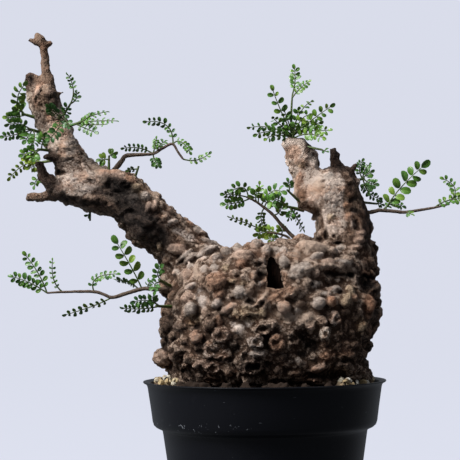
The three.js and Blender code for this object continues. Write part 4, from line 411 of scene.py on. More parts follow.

# Areas of smooth skin: column, row, width, height, turn, tone. The umber and brown rows on the left arm's underside
# and down the right side of the right arm paint the shade there.
SKINS = [
    [262, 294, 30, 16, 0, "tan"], [202, 299, 12, 24, 10, "pale"], [196, 270, 20, 14, 0, "tan"],
    [286, 315, 44, 14, -8, "tan"], [308, 312, 26, 22, 30, "tan"], [350, 318, 22, 34, 0, "brown"],
    [346, 332, 20, 14, 0, "brown"], [309, 250, 36, 24, 0, "tan"], [241, 324, 22, 10, 0, "pale"],
    [82, 184, 50, 26, -5, "skin"], [62, 140, 30, 46, 24, "skin"], [150, 192, 20, 10, -38, "tan"],
    [183, 234, 28, 10, -25, "pale"], [145, 230, 50, 26, -40, "umber"], [110, 207, 60, 14, -8, "brown"],
    [294, 147, 34, 40, 0, "skin"], [307, 180, 32, 50, -18, "skin"], [329, 202, 42, 66, 10, "skin"],
    [366, 215, 14, 74, 0, "umber"], [44, 56, 32, 78, 0, "pink"], [104, 170, 34, 14, -18, "tan"],
    [43, 100, 24, 30, 0, "brown"], [357, 206, 12, 50, 5, "brown"], [352, 236, 20, 18, 0, "brown"],
    [300, 134, 34, 10, 5, "umber"], [310, 143, 10, 26, -20, "umber"], [319, 186, 14, 14, 0, "tan"],
    [30, 78, 15, 18, 0, "umber"], [53, 96, 9, 30, -12, "umber"], [38, 88, 6, 30, -10, "pink"],
    [121, 187, 44, 24, -30, "umber"], [136, 212, 56, 22, -42, "umber"], [158, 222, 34, 18, -40, "brown"],
    [78, 200, 50, 9, -8, "umber"], [176, 240, 26, 14, -30, "brown"], [371, 300, 18, 100, 0, "brown"],
    [352, 348, 34, 34, 0, "brown"], [166, 310, 12, 60, 0, "brown"], [335, 160, 13, 34, 0, "umber"],
    [349, 196, 12, 46, -4, "brown"], [349, 172, 18, 16, 0, "umber"], [47, 178, 16, 26, 25, "umber"],
    [42, 196, 34, 12, 0, "brown"], [146, 218, 60, 26, -42, "umber"], [108, 196, 40, 16, -15, "umber"],
    [52, 157, 20, 10, -10, "umber"], [300, 200, 14, 24, -20, "brown"],
]

# Areas drawn in or, below 0, let out: column, row, width, height, turn, mm
DRAWN = [
    [116, 228, 40, 28, -45, 2.2], [150, 256, 34, 26, -45, 1.5], [228, 238, 52, 22, 0, 3.6],
    [168, 202, 30, 18, -40, 0.5], [198, 228, 22, 16, -30, 0.7], [311, 222, 26, 40, 12, 3.6],
    [374, 352, 26, 62, 0, 5.5], [84, 142, 16, 44, 30, 1.6], [376, 238, 16, 54, 0, 2.4], [379, 280, 14, 36, 0, -1.8],
    [158, 360, 18, 26, 0, -1.4], [286, 141, 16, 18, 0, -2.2], [322, 166, 14, 12, 0, 1.2],
]

# Fine wrinkles: column, row, width, height, turn of the area, slope of the wrinkles, spacing, depth in mm
WRINKLES = [
    [67, 148, 38, 40, 25, 22, 3.4, 0.3], [84, 186, 56, 30, -8, -14, 4.2, 0.2], [43, 100, 20, 50, -15, 70, 4, 0.25],
    [298, 160, 26, 50, -15, -60, 5, 0.22], [335, 205, 40, 60, 0, 75, 6, 0.22], [44, 55, 16, 50, 0, 8, 3.6, 0.2],
    [180, 232, 40, 16, -30, -35, 4.4, 0.25],
]

# The black tone is painted shade, laid in hollows and on the caudex's shaded right edge.
TONES = {
    "tan": (0.340, 0.250, 0.192), "skin": (0.550, 0.440, 0.372), "pale": (0.475, 0.395, 0.345),
    "white": (0.640, 0.560, 0.480), "grey": (0.340, 0.290, 0.255), "pink": (0.385, 0.262, 0.200),
    "rust": (0.330, 0.175, 0.105), "yellow": (0.375, 0.275, 0.175), "brown": (0.200, 0.128, 0.088),
    "umber": (0.085, 0.054, 0.040), "black": (0.030, 0.021, 0.017),
}

# The wound's face and how far it goes in, in mm
WOUND_FACE = -27
WOUND_DEPTH = 18

OUTLINE_AWAY = 709      # mm from the eye to where the trunk's outline lies
KNOB_TRIES = 12000      # draws for knobs that no row places
SKY_RAYS = 9            # rays that feel for open sky, and how far they lean in degrees
SKY_LEANS = (18, 42, 66)
GRAIN_TRIES = 5200      # draws for loose grains
SOIL_TOP = 98.6         # height and reach of the loose grains, in mm
SOIL_REACH = 55.2

# The pot's profile, from the underside out, up, over the lip and down inside: radius, height
POT_PROFILE = [
    [38.7, 0], [39.7, 0.3], [40.2, 1.3], [43, 21], [45.7, 42], [48.2, 60], [50.1, 73], [50.5, 75.6], [51.2, 76.4],
    [53.6, 77.5], [54.8, 78.6], [55.4, 80.4], [56.2, 86.5], [57.1, 92.5], [57.7, 96.6], [58.1, 98], [58.8, 98.7],
    [59.6, 99.1], [60, 99.5], [59.9, 99.9], [59.3, 100], [57.6, 99.7], [56.7, 99.2], [56.4, 98.2], [55.8, 92.5],
    [54.9, 86.5], [54, 80.6], [53.4, 79.4], [49.6, 78.2], [48.8, 75.6], [46.9, 60], [44.4, 42], [41.7, 21],
    [38.9, 2.4], [38.3, 1.9], [37.3, 1.8],
]
DRAIN_HOLES = 8
DRAIN_RING = 25
DRAIN_RADIUS = 3.2


# Small helpers

def select_only(*pieces):
    bpy.ops.object.select_all(action="DESELECT")
    for piece in pieces:
        piece.select_set(True)
    bpy.context.view_layer.objects.active = pieces[-1]


def apply_modifier(piece, kind, **values):
    select_only(piece)
    modifier = piece.modifiers.new(kind.title(), kind)
    for key, value in values.items():
        setattr(modifier, key, value)
    bpy.ops.object.modifier_apply(modifier=modifier.name)


def fresh_primitive(adder, name, **values):
    bpy.ops.object.select_all(action="DESELECT")
    adder(**values)
    piece = bpy.context.active_object
    piece.name = piece.data.name = name
    return piece


def edit_all(piece):
    """Opens a piece in edit mode with all of it selected."""
    select_only(piece)
    bpy.ops.object.mode_set(mode="EDIT")
    bpy.ops.mesh.select_all(action="SELECT")


def leave_edit(outward=False):
    if outward:
        bpy.ops.mesh.select_all(action="SELECT")
        bpy.ops.mesh.normals_make_consistent(inside=False)
    bpy.ops.object.mode_set(mode="OBJECT")


def smooth_shaded(piece, angle=None):
    """Smooth shading, broken at edges sharper than an angle where one is given in degrees."""
    select_only(piece)
    if angle:
        bpy.ops.object.shade_smooth_by_angle(angle=math.radians(angle))
    else:
        bpy.ops.object.shade_smooth()


def removed(piece):
    mesh = piece.data
    bpy.data.objects.remove(piece)
    bpy.data.meshes.remove(mesh)


def linked(name, data):
    piece = bpy.data.objects.new(name, data)
    bpy.context.collection.objects.link(piece)
    return piece


def coordinates(mesh):
    found = np.empty(len(mesh.vertices) * 3)
    mesh.vertices.foreach_get("co", found)
    return found.reshape(-1, 3)


def mesh_normals(mesh):
    normals = np.empty(len(mesh.vertices) * 3)
    mesh.vertex_normals.foreach_get("vector", normals)
    return normals.reshape(-1, 3)


def move_corners(mesh, corners):
    mesh.vertices.foreach_set("co", corners.ravel())
    mesh.update()


def store_colors(mesh, name, colors):
    """Keeps three values for each corner as a colour."""
    values = np.ones((len(colors), 4))
    values[:, :3] = colors
    layer = mesh.color_attributes.new(name, "FLOAT_COLOR", "POINT")
    layer.data.foreach_set("color", values.ravel())


def taken_shape(piece):
    """A modelled shape's corners and faces, ready to be copied. The object itself is removed."""
    corners = coordinates(piece.data)
    faces = [tuple(polygon.vertices) for polygon in piece.data.polygons]
    removed(piece)
    return corners, faces


class Heap:
    """Collects copies of shapes and turns them into one mesh."""

    def __init__(self):
        self.corners = []
        self.faces = []
        self.slots = []
        self.tints = []
        self.count = 0

    def add(self, corners, faces, slot=0, tint=(0.5, 0.5, 0.5)):
        self.corners.append(np.asarray(corners))
        self.faces.extend(tuple(i + self.count for i in face) for face in faces)
        self.slots.extend([slot] * len(faces))
        tints = np.asarray(tint, float)
        self.tints.append(np.broadcast_to(tints, (len(corners), 3)) if tints.ndim == 1 else tints)
        self.count += len(corners)

    def piece(self, name, tint_name=None):
        mesh = bpy.data.meshes.new(name)
        mesh.from_pydata(np.concatenate(self.corners).tolist(), [], self.faces)
        mesh.polygons.foreach_set("material_index", self.slots)
        if tint_name:
            store_colors(mesh, tint_name, np.concatenate(self.tints))
        return linked(name, mesh)


def moved(corners, origin, axes, size):
    """Corners scaled by size and carried to a place given by its origin and three axes."""
    turn = np.array([list(axis) for axis in axes])
    return (np.asarray(corners) * np.asarray(size)) @ turn + np.array(list(origin))


def rounded_path(points, steps):
    """Evenly spread points on a smooth curve through the given ones."""
    points = [Vector(point) for point in points]
    points = [2 * points[0] - points[1]] + points + [2 * points[-1] - points[-2]]
    dense = []
    for a, b, c, d in zip(points, points[1:], points[2:], points[3:]):
        for i in range(12):
            t = i / 12
            dense.append(0.5 * (2 * b + (c - a) * t + (2 * a - 5 * b + 4 * c - d) * t ** 2
                                + (3 * b - a - 3 * c + d) * t ** 3))
    dense.append(points[-2])
    lengths = np.cumsum([0] + [(b - a).length for a, b in zip(dense, dense[1:])])
    marks = np.linspace(0, lengths[-1], steps + 1)
    table = np.array([list(point) for point in dense])
    return [Vector([np.interp(mark, lengths, table[:, k]) for k in range(3)]) for mark in marks]


def tube(points, radii, sides, wobble=0.0, chance=None):
    """A closed round tube along the points, with a radius for each."""
    corners, faces = [], []
    side = Vector((0, -1, 0.01))
    for i, point in enumerate(points):
        along = (points[min(i + 1, len(points) - 1)] - points[max(i - 1, 0)]).normalized()
        side = (side - along * side.dot(along)).normalized()
        up = along.cross(side)
        for k in range(sides):
            turn = 2 * math.pi * k / sides
            radius = radii[i] * (1 + (chance.uniform(-wobble, wobble) if chance else 0))
            corners.append(point + (side * math.cos(turn) + up * math.sin(turn)) * radius)
    for i in range(len(points) - 1):
        for k in range(sides):
            a, b = i * sides + k, i * sides + (k + 1) % sides
            faces.append((a, b, b + sides, a + sides))
    faces.append(tuple(reversed(range(sides))))
    faces.append(tuple(range(len(corners) - sides, len(corners))))
    return np.array([list(corner) for corner in corners]), faces


def spread_radii(radii, count):
    return np.interp(np.linspace(0, len(radii) - 1, count), range(len(radii)), radii)


# Shader building

class Nodes:
    """Adds shader nodes and links them by name."""

    def __init__(self, tree):
        self.tree = tree

    def add(self, kind, inputs=None, **values):
        node = self.tree.nodes.new(kind)
        for key, value in values.items():
            setattr(node, key, value)
        for key, value in (inputs or {}).items():
            self.feed(node.inputs[key], value)
        return node

    def feed(self, socket, value):
        if isinstance(value, bpy.types.NodeSocket):
            self.tree.links.new(value, socket)
        else:
            socket.default_value = value

    def noise(self, vector, scale, detail=4.0, roughness=0.55, distortion=0.0):
        return self.add("ShaderNodeTexNoise", {
            "Vector": vector, "Scale": scale, "Detail": detail, "Roughness": roughness,
            "Distortion": distortion,
        }).outputs["Fac"]

    def math(self, operation, a, b=0.0):
        node = self.add("ShaderNodeMath", operation=operation)
        self.feed(node.inputs[0], a)
        self.feed(node.inputs[1], b)
        return node.outputs[0]

    def times(self, a, b):
        return self.math("MULTIPLY", a, b)

    def plus(self, a, b):
        return self.math("ADD", a, b)

    def minus(self, a, b):
        return self.math("SUBTRACT", a, b)

    def flipped(self, value):
        return self.minus(1.0, value)

    def swing(self, value, amount):
        """A noise around 0 instead of 0.5, times an amount."""
        return self.times(self.minus(value, 0.5), amount)

    def steps(self, value, low, high):
        """Value carried from low..high to 0..1."""
        node = self.add("ShaderNodeMapRange", interpolation_type="SMOOTHSTEP")
        self.feed(node.inputs["Value"], value)
        self.feed(node.inputs["From Min"], low)
        self.feed(node.inputs["From Max"], high)
        return node.outputs["Result"]

    def mix(self, share, a, b, blend_type="MIX"):
        node = self.add("ShaderNodeMix", data_type="RGBA", blend_type=blend_type)
        self.feed(node.inputs["Factor"], share)
        self.feed(node.inputs["A"], a)
        self.feed(node.inputs["B"], b)
        return node.outputs["Result"]

    def tinted(self, share, color, tint):
        """Color drawn by a share to its product with tint."""
        return self.mix(share, color, self.mix(1.0, color, tint, "MULTIPLY"))

    def stored(self, name):
        """The three values that store_colors kept under a name."""
        color = self.add("ShaderNodeAttribute", attribute_name=name).outputs["Color"]
        parts = self.add("ShaderNodeSeparateColor", {"Color": color}).outputs
        return parts["Red"], parts["Green"], parts["Blue"]

    def place(self):
        return self.add("ShaderNodeTexCoord").outputs["Object"]

    def ramp(self, value, stops):
        node = self.add("ShaderNodeValToRGB")
        elements = node.color_ramp.elements
        while len(elements) < len(stops):
            elements.new(0.5)
        for element, (place, color) in zip(elements, stops):
            element.position = place
            element.color = (*color, 1)
        self.feed(node.inputs["Fac"], value)
        return node.outputs["Color"]


def new_material(name, roughness, specular):
    material = bpy.data.materials.new(name)
    material.use_nodes = True
    nodes = Nodes(material.node_tree)
    shader = material.node_tree.nodes["Principled BSDF"]
    shader.inputs["Roughness"].default_value = roughness
    shader.inputs["Specular IOR Level"].default_value = specular
    return material, nodes, shader


def bump(nodes, shader, height, distance, strength=1.0):
    node = nodes.add("ShaderNodeBump", {"Height": height, "Distance": distance, "Strength": strength})
    nodes.feed(shader.inputs["Normal"], node.outputs["Normal"])


def rough_grain_group():
    """Fine pores and grain for bark, wood and grit: a mask and a height from object coordinates."""
    name = "rough grain"
    if name in bpy.data.node_groups:
        return bpy.data.node_groups[name]
    group = bpy.data.node_groups.new(name, "ShaderNodeTree")
    group.interface.new_socket("Scale", in_out="INPUT", socket_type="NodeSocketFloat")
    group.interface.new_socket("Stretch", in_out="INPUT", socket_type="NodeSocketVector")
    group.interface.new_socket("Mask", in_out="OUTPUT", socket_type="NodeSocketFloat")
    group.interface.new_socket("Height", in_out="OUTPUT", socket_type="NodeSocketFloat")
    nodes = Nodes(group)
    given = group.nodes.new("NodeGroupInput")
    result = group.nodes.new("NodeGroupOutput")
    place = nodes.place()
    stretched = nodes.add("ShaderNodeVectorMath", operation="MULTIPLY")
    nodes.feed(stretched.inputs[0], place)
    nodes.feed(stretched.inputs[1], given.outputs["Stretch"])
    vector = stretched.outputs[0]
    coarse = nodes.noise(vector, given.outputs["Scale"], 6, 0.62, 0.6)
    finer = nodes.times(given.outputs["Scale"], 3.7)
    pores = nodes.add("ShaderNodeTexVoronoi", {"Vector": vector, "Scale": finer}).outputs["Distance"]
    nodes.feed(result.inputs["Mask"], coarse)
    height = nodes.plus(coarse, nodes.times(nodes.steps(pores, 0.0, 0.55), 0.35))
    nodes.feed(result.inputs["Height"], height)
    return group


def grain(nodes, scale, stretch=(1, 1, 1)):
    node = nodes.add("ShaderNodeGroup", node_tree=rough_grain_group())
    node.inputs["Scale"].default_value = scale
    node.inputs["Stretch"].default_value = stretch
    return node


def bark_heights(nodes, place, relief, rough, fine, streaks):
    """The fine height of the bark, with its creases and the plates between its cracks."""
    height = nodes.plus(nodes.swing(fine.outputs["Mask"], 0.9), nodes.swing(streaks, 1.3))
    height = nodes.times(height, nodes.plus(0.4, nodes.times(rough, 0.6)))
    height = nodes.plus(relief, height)
    crease = nodes.math("ABSOLUTE", nodes.minus(nodes.noise(place, 240, 3, 0.55, 1.4), 0.5))
    crease = nodes.steps(crease, 0.0, 0.035)
    height = nodes.minus(height, nodes.times(nodes.flipped(crease), 0.4))
    bent = nodes.add("ShaderNodeVectorMath", {"Scale": 0.004}, operation="SCALE")
    nodes.feed(bent.inputs[0], nodes.add("ShaderNodeTexNoise", {"Vector": place, "Scale": 260.0}).outputs["Color"])
    bent_place = nodes.add("ShaderNodeVectorMath", operation="ADD")
    nodes.feed(bent_place.inputs[0], place)
    nodes.feed(bent_place.inputs[1], bent.outputs[0])
    plates = nodes.add("ShaderNodeTexVoronoi", {"Vector": bent_place.outputs[0], "Scale": 480.0},
                       feature="DISTANCE_TO_EDGE").outputs["Distance"]
    plates = nodes.steps(plates, 0.0, 0.16)
    cracks = nodes.times(nodes.flipped(plates), rough)
    return nodes.minus(height, nodes.times(cracks, 0.3)), crease, plates, cracks


def bark_material():
    """bark_form holds the fine relief, the openness and the roughness; bark_tone_and_shade the skin's colour, with
    painted shade laid into it.
    """
    look = bpy.context.scene.bonsai_bark
    material, nodes, shader = new_material("bark", 0.72, 0.22)
    place = nodes.place()
    relief, open_air, rough = nodes.stored("bark_form")
    tone = nodes.add("ShaderNodeAttribute", attribute_name="bark_tone_and_shade").outputs["Color"]
    fine = grain(nodes, 950)
    patches = nodes.noise(place, 95, 6, 0.62, 0.6)
    streaks = nodes.noise(place, 430, 5, 0.68, 1.8)
    height, crease, plates, cracks = bark_heights(nodes, place, relief, rough, fine, streaks)

    # painted shade: lifted tops keep the tone, lower places in the relief take the darker side tint, and closed-in
    # places, where little sky reaches, take the crevice tint as shade and soil
    lifted = nodes.steps(nodes.plus(height, nodes.times(nodes.flipped(rough), 0.42)), 0.22, 0.7)
    unshaded = nodes.steps(nodes.plus(open_air, nodes.swing(streaks, 0.5)), 0.36, 0.84)
    color = nodes.mix(lifted, nodes.mix(1.0, tone, (*look.side, 1), "MULTIPLY"), tone)
    shade_and_grime = nodes.times(nodes.flipped(unshaded), nodes.steps(rough, -0.9, 0.5))
    color = nodes.mix(shade_and_grime, color, nodes.mix(1.0, tone, (*look.crevice_shade_and_grime, 1), "MULTIPLY"))

    # bleached tops, brown stains, cracks, mottling and dark specks
    bleach = nodes.steps(nodes.plus(height, nodes.times(patches, 0.6)), 0.86, 1.25)
    bleach = nodes.times(bleach, nodes.times(nodes.steps(rough, -0.5, 0.6), look.bleach))
    stain = nodes.times(nodes.steps(patches, 0.5, 0.66), 0.55)
    mottle = nodes.ramp(nodes.noise(place, 1500, 4, 0.75, 0.3), [
        (0.34, (0.42, 0.4, 0.38)), (0.5, (0.95, 0.95, 0.95)), (0.64, (1.3, 1.3, 1.3)),
    ])
    specks = nodes.steps(nodes.noise(place, 800, 3, 0.7, 0.4), 0.58, 0.68)
    for share, tint in (
        (bleach, (1.7, 1.72, 1.75, 1)),
        (stain, (0.92, 0.66, 0.5, 1)),
        (nodes.times(cracks, 0.55), (0.3, 0.22, 0.17, 1)),
        (nodes.times(rough, 0.6), mottle),
        (nodes.times(specks, nodes.times(rough, 0.6)), (0.3, 0.24, 0.2, 1)),
    ):
        color = nodes.tinted(share, color, tint)
    nodes.feed(shader.inputs["Base Color"], color)
    ridges = nodes.plus(nodes.times(fine.outputs["Height"], 0.5), streaks)
    ridges = nodes.plus(ridges, nodes.times(crease, 0.35))
    ridges = nodes.plus(ridges, nodes.times(plates, 0.3))
    bump(nodes, shader, nodes.times(ridges, nodes.plus(0.15, rough)), 0.0018, 0.9)
    return material


def shaded_dead_wood_material():
    # painted shade: the dead wood is kept almost black, as the shade deep in the wound
    material, nodes, shader = new_material("shaded dead wood", 0.95, 0.04)
    streaks = grain(nodes, 500, (1.6, 1.6, 0.25))
    nodes.feed(shader.inputs["Base Color"], nodes.ramp(streaks.outputs["Mask"], [
        (0.3, (0.002, 0.0015, 0.001)), (0.52, (0.007, 0.004, 0.003)), (0.72, (0.022, 0.01, 0.007)),
    ]))
    bump(nodes, shader, streaks.outputs["Height"], 0.0006)
    return material


def twig_material():
    material, nodes, shader = new_material("twig bark", 0.7, 0.35)
    fine = grain(nodes, 1300)
    nodes.feed(shader.inputs["Base Color"], nodes.ramp(fine.outputs["Mask"], [
        (0.3, (0.045, 0.028, 0.02)), (0.52, (0.12, 0.082, 0.058)), (0.72, (0.22, 0.17, 0.13)),
    ]))
    bump(nodes, shader, fine.outputs["Height"], 0.0003)
    return material


def stem_material():
    material, nodes, shader = new_material("green stem", 0.5, 0.4)
    youth, *_ = nodes.stored("leaf_form")
    fine = grain(nodes, 900)
    color = nodes.ramp(youth, [
        (0.0, (0.04, 0.075, 0.018)), (0.5, (0.075, 0.13, 0.028)), (1.0, (0.17, 0.24, 0.055)),
    ])
    brown = nodes.times(nodes.steps(fine.outputs["Mask"], 0.45, 0.7), 0.55)
    color = nodes.mix(brown, color, (0.11, 0.06, 0.03, 1))
    nodes.feed(shader.inputs["Base Color"], color)
    bump(nodes, shader, fine.outputs["Height"], 0.0002)
    return material


def leaf_material():
    """Glossy leaf skin. leaf_form holds youth, the distance from the midrib and a number for each leaf."""
    look = bpy.context.scene.bonsai_foliage
    material, nodes, shader = new_material("leaf", 0.36, 0.55)
    youth, edge, chance = nodes.stored("leaf_form")
    mottle = grain(nodes, 700)
    age = nodes.plus(youth, nodes.swing(chance, 0.3))
    age = nodes.plus(age, nodes.swing(mottle.outputs["Mask"], 0.25))
    color = nodes.ramp(age, [(0.05, look.old_leaf), (0.45, look.leaf), (0.95, look.young_leaf)])
    rib = nodes.flipped(nodes.steps(edge, 0.0, 0.22))
    color = nodes.tinted(nodes.times(rib, 0.4), color, (2.2, 1.7, 1.6, 1))
    nodes.feed(shader.inputs["Base Color"], color)
    bump(nodes, shader, nodes.plus(mottle.outputs["Height"], nodes.times(rib, -1.2)), 0.00012, 0.8)
    return material


def pot_material():
    look = bpy.context.scene.bonsai_pot
    material, nodes, shader = new_material("pot plastic", 0.4, 0.32)
    place = nodes.place()
    fine = nodes.noise(place, 900, 5, 0.6)
    cloud = nodes.noise(place, 34, 4, 0.5)
    dust = nodes.times(nodes.steps(nodes.noise(place, 60, 8, 0.72, 0.5), 0.55, 0.8), look.dust)
    # flecks on the step under the band, at the left, and long fine scratches all round
    parts = nodes.add("ShaderNodeSeparateXYZ", {"Vector": place})
    low = nodes.steps(parts.outputs["Z"], 0.0765, 0.079)
    high = nodes.flipped(nodes.steps(parts.outputs["Z"], 0.081, 0.0835))
    left = nodes.flipped(nodes.steps(parts.outputs["X"], -0.02, 0.0))
    band = nodes.times(nodes.times(low, high), left)
    flecks = nodes.steps(nodes.noise(place, 330, 3, 0.8), 0.62, 0.68)
    scuff = nodes.times(band, flecks)
    scratch_place = nodes.add("ShaderNodeMapping", {"Vector": place, "Scale": (1, 1, 7)}).outputs["Vector"]
    scratch = nodes.times(nodes.steps(nodes.noise(scratch_place, 120, 2, 0.9), 0.72, 0.76), 0.3)
    marks = nodes.math("MAXIMUM", scuff, scratch)
    color = nodes.mix(dust, (*look.plastic, 1), (0.045, 0.047, 0.055, 1))
    color = nodes.mix(nodes.times(marks, 0.8), color, (0.3, 0.32, 0.36, 1))
    nodes.feed(shader.inputs["Base Color"], color)
    rough = nodes.plus(look.roughness, nodes.times(cloud, 0.12))
    rough = nodes.plus(rough, nodes.times(marks, 0.3))
    nodes.feed(shader.inputs["Roughness"], rough)
    height = nodes.plus(nodes.times(fine, 0.4), cloud)
    bump(nodes, shader, height, 0.0003, 0.35)
    return material


def grit_material():
    """Mixed mineral grains, each with a number of its own in grit_form."""
    material, nodes, shader = new_material("grit", 0.9, 0.3)
    shade, *_ = nodes.stored("grit_form")
    fine = grain(nodes, 1500)
    color = nodes.ramp(shade, [
        (0.0, (0.055, 0.035, 0.022)), (0.24, (0.16, 0.1, 0.06)), (0.42, (0.3, 0.22, 0.13)),
        (0.58, (0.5, 0.38, 0.2)), (0.78, (0.58, 0.52, 0.4)), (1.0, (0.72, 0.69, 0.62)),
    ])
    color = nodes.tinted(nodes.times(nodes.steps(fine.outputs["Mask"], 0.5, 0.7), 0.5), color, (0.5, 0.42, 0.36, 1))
    nodes.feed(shader.inputs["Base Color"], color)
    bump(nodes, shader, fine.outputs["Height"], 0.0005)
    return material


def soil_material():
    material, nodes, shader = new_material("soil", 0.95, 0.2)
    place = nodes.place()
    cells = nodes.add("ShaderNodeTexVoronoi", {"Vector": place, "Scale": 300.0})
    shade = nodes.add("ShaderNodeSeparateColor", {"Color": cells.outputs["Color"]}).outputs["Red"]
    color = nodes.ramp(shade, [
        (0.0, (0.03, 0.02, 0.014)), (0.6, (0.12, 0.08, 0.05)), (1.0, (0.35, 0.28, 0.18)),
    ])
    # painted shade: dark along the front, where the trunk shades it
    parts = nodes.add("ShaderNodeSeparateXYZ", {"Vector": place})
    under = nodes.math("ABSOLUTE", nodes.plus(parts.outputs["X"], 0.004))
    under = nodes.math("MAXIMUM", nodes.steps(under, 0.036, 0.041), nodes.steps(parts.outputs["Y"], 0.0, 0.02))
    nodes.feed(shader.inputs["Base Color"], nodes.mix(under, (0.02, 0.012, 0.008, 1), color))
    bump(nodes, shader, nodes.times(cells.outputs["Distance"], -1.0), 0.0015)
    return material


# Trunk

CAMERA_TURN = (Matrix.Rotation(math.pi / 2 + math.radians(2.62), 3, "X")
               @ Matrix.Rotation(math.radians(-0.5), 3, "Z"))
FRAME_SIZE = 460            # width and height of the frame, in frame units
MIDDLE = FRAME_SIZE / 2
FRAME_REACH = 1443          # distance of the frame from the eye, in frame units
UNIT = 0.47                 # mm that a frame unit covers on the trunk


def sight(column, row):
    """The line of sight through a column and row of the frame."""
    return (CAMERA_TURN @ Vector((column - MIDDLE, MIDDLE - row, -FRAME_REACH))).normalized()


def frame_places(corners):
    """The column and row at which each corner is seen."""
    seen = (corners / MM - np.array(list(EYE))) @ np.array([list(axis) for axis in CAMERA_TURN])
    return MIDDLE - FRAME_REACH * seen[:, 0] / seen[:, 2], MIDDLE + FRAME_REACH * seen[:, 1] / seen[:, 2]


def patch(columns, rows, row):
    """Distance from a turned ellipse's middle, 1 at its edge."""
    column, line, wide, tall, turn = row[:5]
    angle = math.radians(turn)
    across, up = columns - column, line - rows
    a = (across * math.cos(angle) + up * math.sin(angle)) / (wide / 2)
    b = (up * math.cos(angle) - across * math.sin(angle)) / (tall / 2)
    return np.sqrt(a * a + b * b)


def fade(value, start, end):
    share = np.clip((value - start) / (end - start), 0, 1)
    return share * share * (3 - 2 * share)


def smoothed_copy(node, name, voxel, rounds):
    """A merged, evenly meshed and smoothed copy of a CAD node."""
    piece = linked(name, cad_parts[node].data.copy())
    piece.data.materials.clear()
    edit_all(piece)
    bpy.ops.mesh.remove_doubles(threshold=0.000001)
    leave_edit()
    apply_modifier(piece, "REMESH", mode="VOXEL", voxel_size=voxel * MM)
    apply_modifier(piece, "SMOOTH", factor=0.5, iterations=rounds)
    return piece


def smoothed_trunk():
    """The trunk as one smooth lumpy body, drawn in and let out where the rows say."""
    base = smoothed_copy("trunk", "trunk_bark", 1.3, 14)
    corners, normals = coordinates(base.data), mesh_normals(base.data)
    columns, rows = frame_places(corners)
    for row in DRAWN:
        corners -= normals * (row[5] * MM * (1 - fade(patch(columns, rows, row), 0.35, 1.15)))[:, None]
    move_corners(base.data, corners)
    return base


def surface_tree(piece):
    return BVHTree.FromPolygons(
        coordinates(piece.data).tolist(), [polygon.vertices for polygon in piece.data.polygons])


def extrude_rings(profile):
    """Extrudes the selected ring from row to row of a profile of radius and height."""
    for (radius, height), (wider, higher) in zip(profile, profile[1:]):
        bpy.ops.mesh.extrude_region_move(TRANSFORM_OT_translate={"value": (0, 0, higher - height)})
        grow = wider / radius
        bpy.ops.transform.resize(value=(grow, grow, 1), center_override=(0, 0, higher))


def turned_shape(name, profile, sides):
    """A closed round shape turned from a profile of radius and height."""
    start_radius, start_height = profile[0]
    piece = fresh_primitive(
        bpy.ops.mesh.primitive_circle_add, name, vertices=sides, radius=start_radius,
        location=(0, 0, start_height))
    bpy.ops.object.transform_apply(location=True, rotation=True, scale=True)
    edit_all(piece)
    bpy.ops.mesh.select_mode(type="EDGE")
    bpy.ops.mesh.select_all(action="SELECT")
    extrude_rings(profile)
    bpy.ops.mesh.select_all(action="SELECT")
    bpy.ops.mesh.fill_holes(sides=0)
    leave_edit(outward=True)
    return piece


def knob_shapes():
    """A round knob, a ring with a sunken middle and a pair of puckered lips, each about 1 in radius."""
    ball = taken_shape(fresh_primitive(
        bpy.ops.mesh.primitive_ico_sphere_add, "round knob", subdivisions=3, radius=1))
    ring = taken_shape(turned_shape("ring knob", [
        [0.12, 0.56], [0.24, 0.58], [0.36, 0.78], [0.46, 0.9], [0.62, 0.94], [0.8, 0.72], [0.95, 0.3],
        [1, -0.2], [0.9, -0.7], [0.4, -1],
    ], 20))
    lips = taken_shape(turned_shape("puckered knob", [
        [0.1, 0.45], [0.22, 0.5], [0.3, 0.74], [0.4, 0.84], [0.47, 0.6], [0.52, 0.55], [0.6, 0.82],
        [0.7, 0.86], [0.76, 0.5], [0.82, 0.42], [0.9, 0.5], [1, 0.1], [0.98, -0.4], [0.4, -1],
    ], 24))
    return {"ball": ball, "ring": ring, "lips": lips}


def knob_axes(normal, turn):
    """Axes of a knob on a surface, turned by an angle as the camera sees it."""
    normal = (normal - sight(MIDDLE, MIDDLE) * 0.35).normalized()
    angle = math.radians(turn)
    side = CAMERA_TURN @ Vector((math.cos(angle), math.sin(angle), 0))
    side -= normal * side.dot(normal)
    if side.length < 0.2:
        side = normal.orthogonal()
    side.normalize()
    return side, normal.cross(side), normal


def add_knob(heap, shape, point, axes, half, proud, chance):
    """Adds a shape sunk so far that it stands proud by the given height. All in mm."""
    rise = max(sum(half) / 2 * 0.9, proud * 0.6)
    centre = point + axes[2] * (proud - rise) * MM
    phase = chance.uniform(0, 6)
    lumps = 1 + 0.07 * np.sin(shape[0] @ np.array([[4.1], [5.3], [3.7]]) + phase)
    lumps += 0.05 * np.sin(shape[0] @ np.array([[8.3], [-7.1], [6.2]]) + 2 * phase)
    heap.add(moved(shape[0] * lumps, centre, axes, [half[0] * MM, half[1] * MM, rise * MM]), shape[1])


def grow_seen_knobs(tree, heap, shapes, taken):
    """The knobs of the tables, each set by its line of sight."""
    chance = random.Random(3)
    eye = EYE * MM
    rows = [(row, kind) for kind, table in (("ball", KNOBS), ("ring", RINGS), ("lips", MOUTHS)) for row in table]
    for (column, line, wide, tall, turn, proud, tone), kind in rows:
        point, normal, *_ = tree.ray_cast(eye, sight(column, line))
        if point is None:
            way = sight(column, line)
            guess = eye + way * (OUTLINE_AWAY * MM / way.y)
            point, normal, *_ = tree.find_nearest(guess)
            if (guess - point).length > 6 * MM:
                continue
        half = (wide / 2 * UNIT * 1.07, tall / 2 * UNIT * 1.07)
        proud *= 0.6 if line < 236 and not 140 < column < 290 else 1.06
        add_knob(heap, shapes[kind], point, knob_axes(normal, turn), half, proud * (wide + tall) / 2 * UNIT, chance)
        taken.append((point, max(half), TONES[tone]))


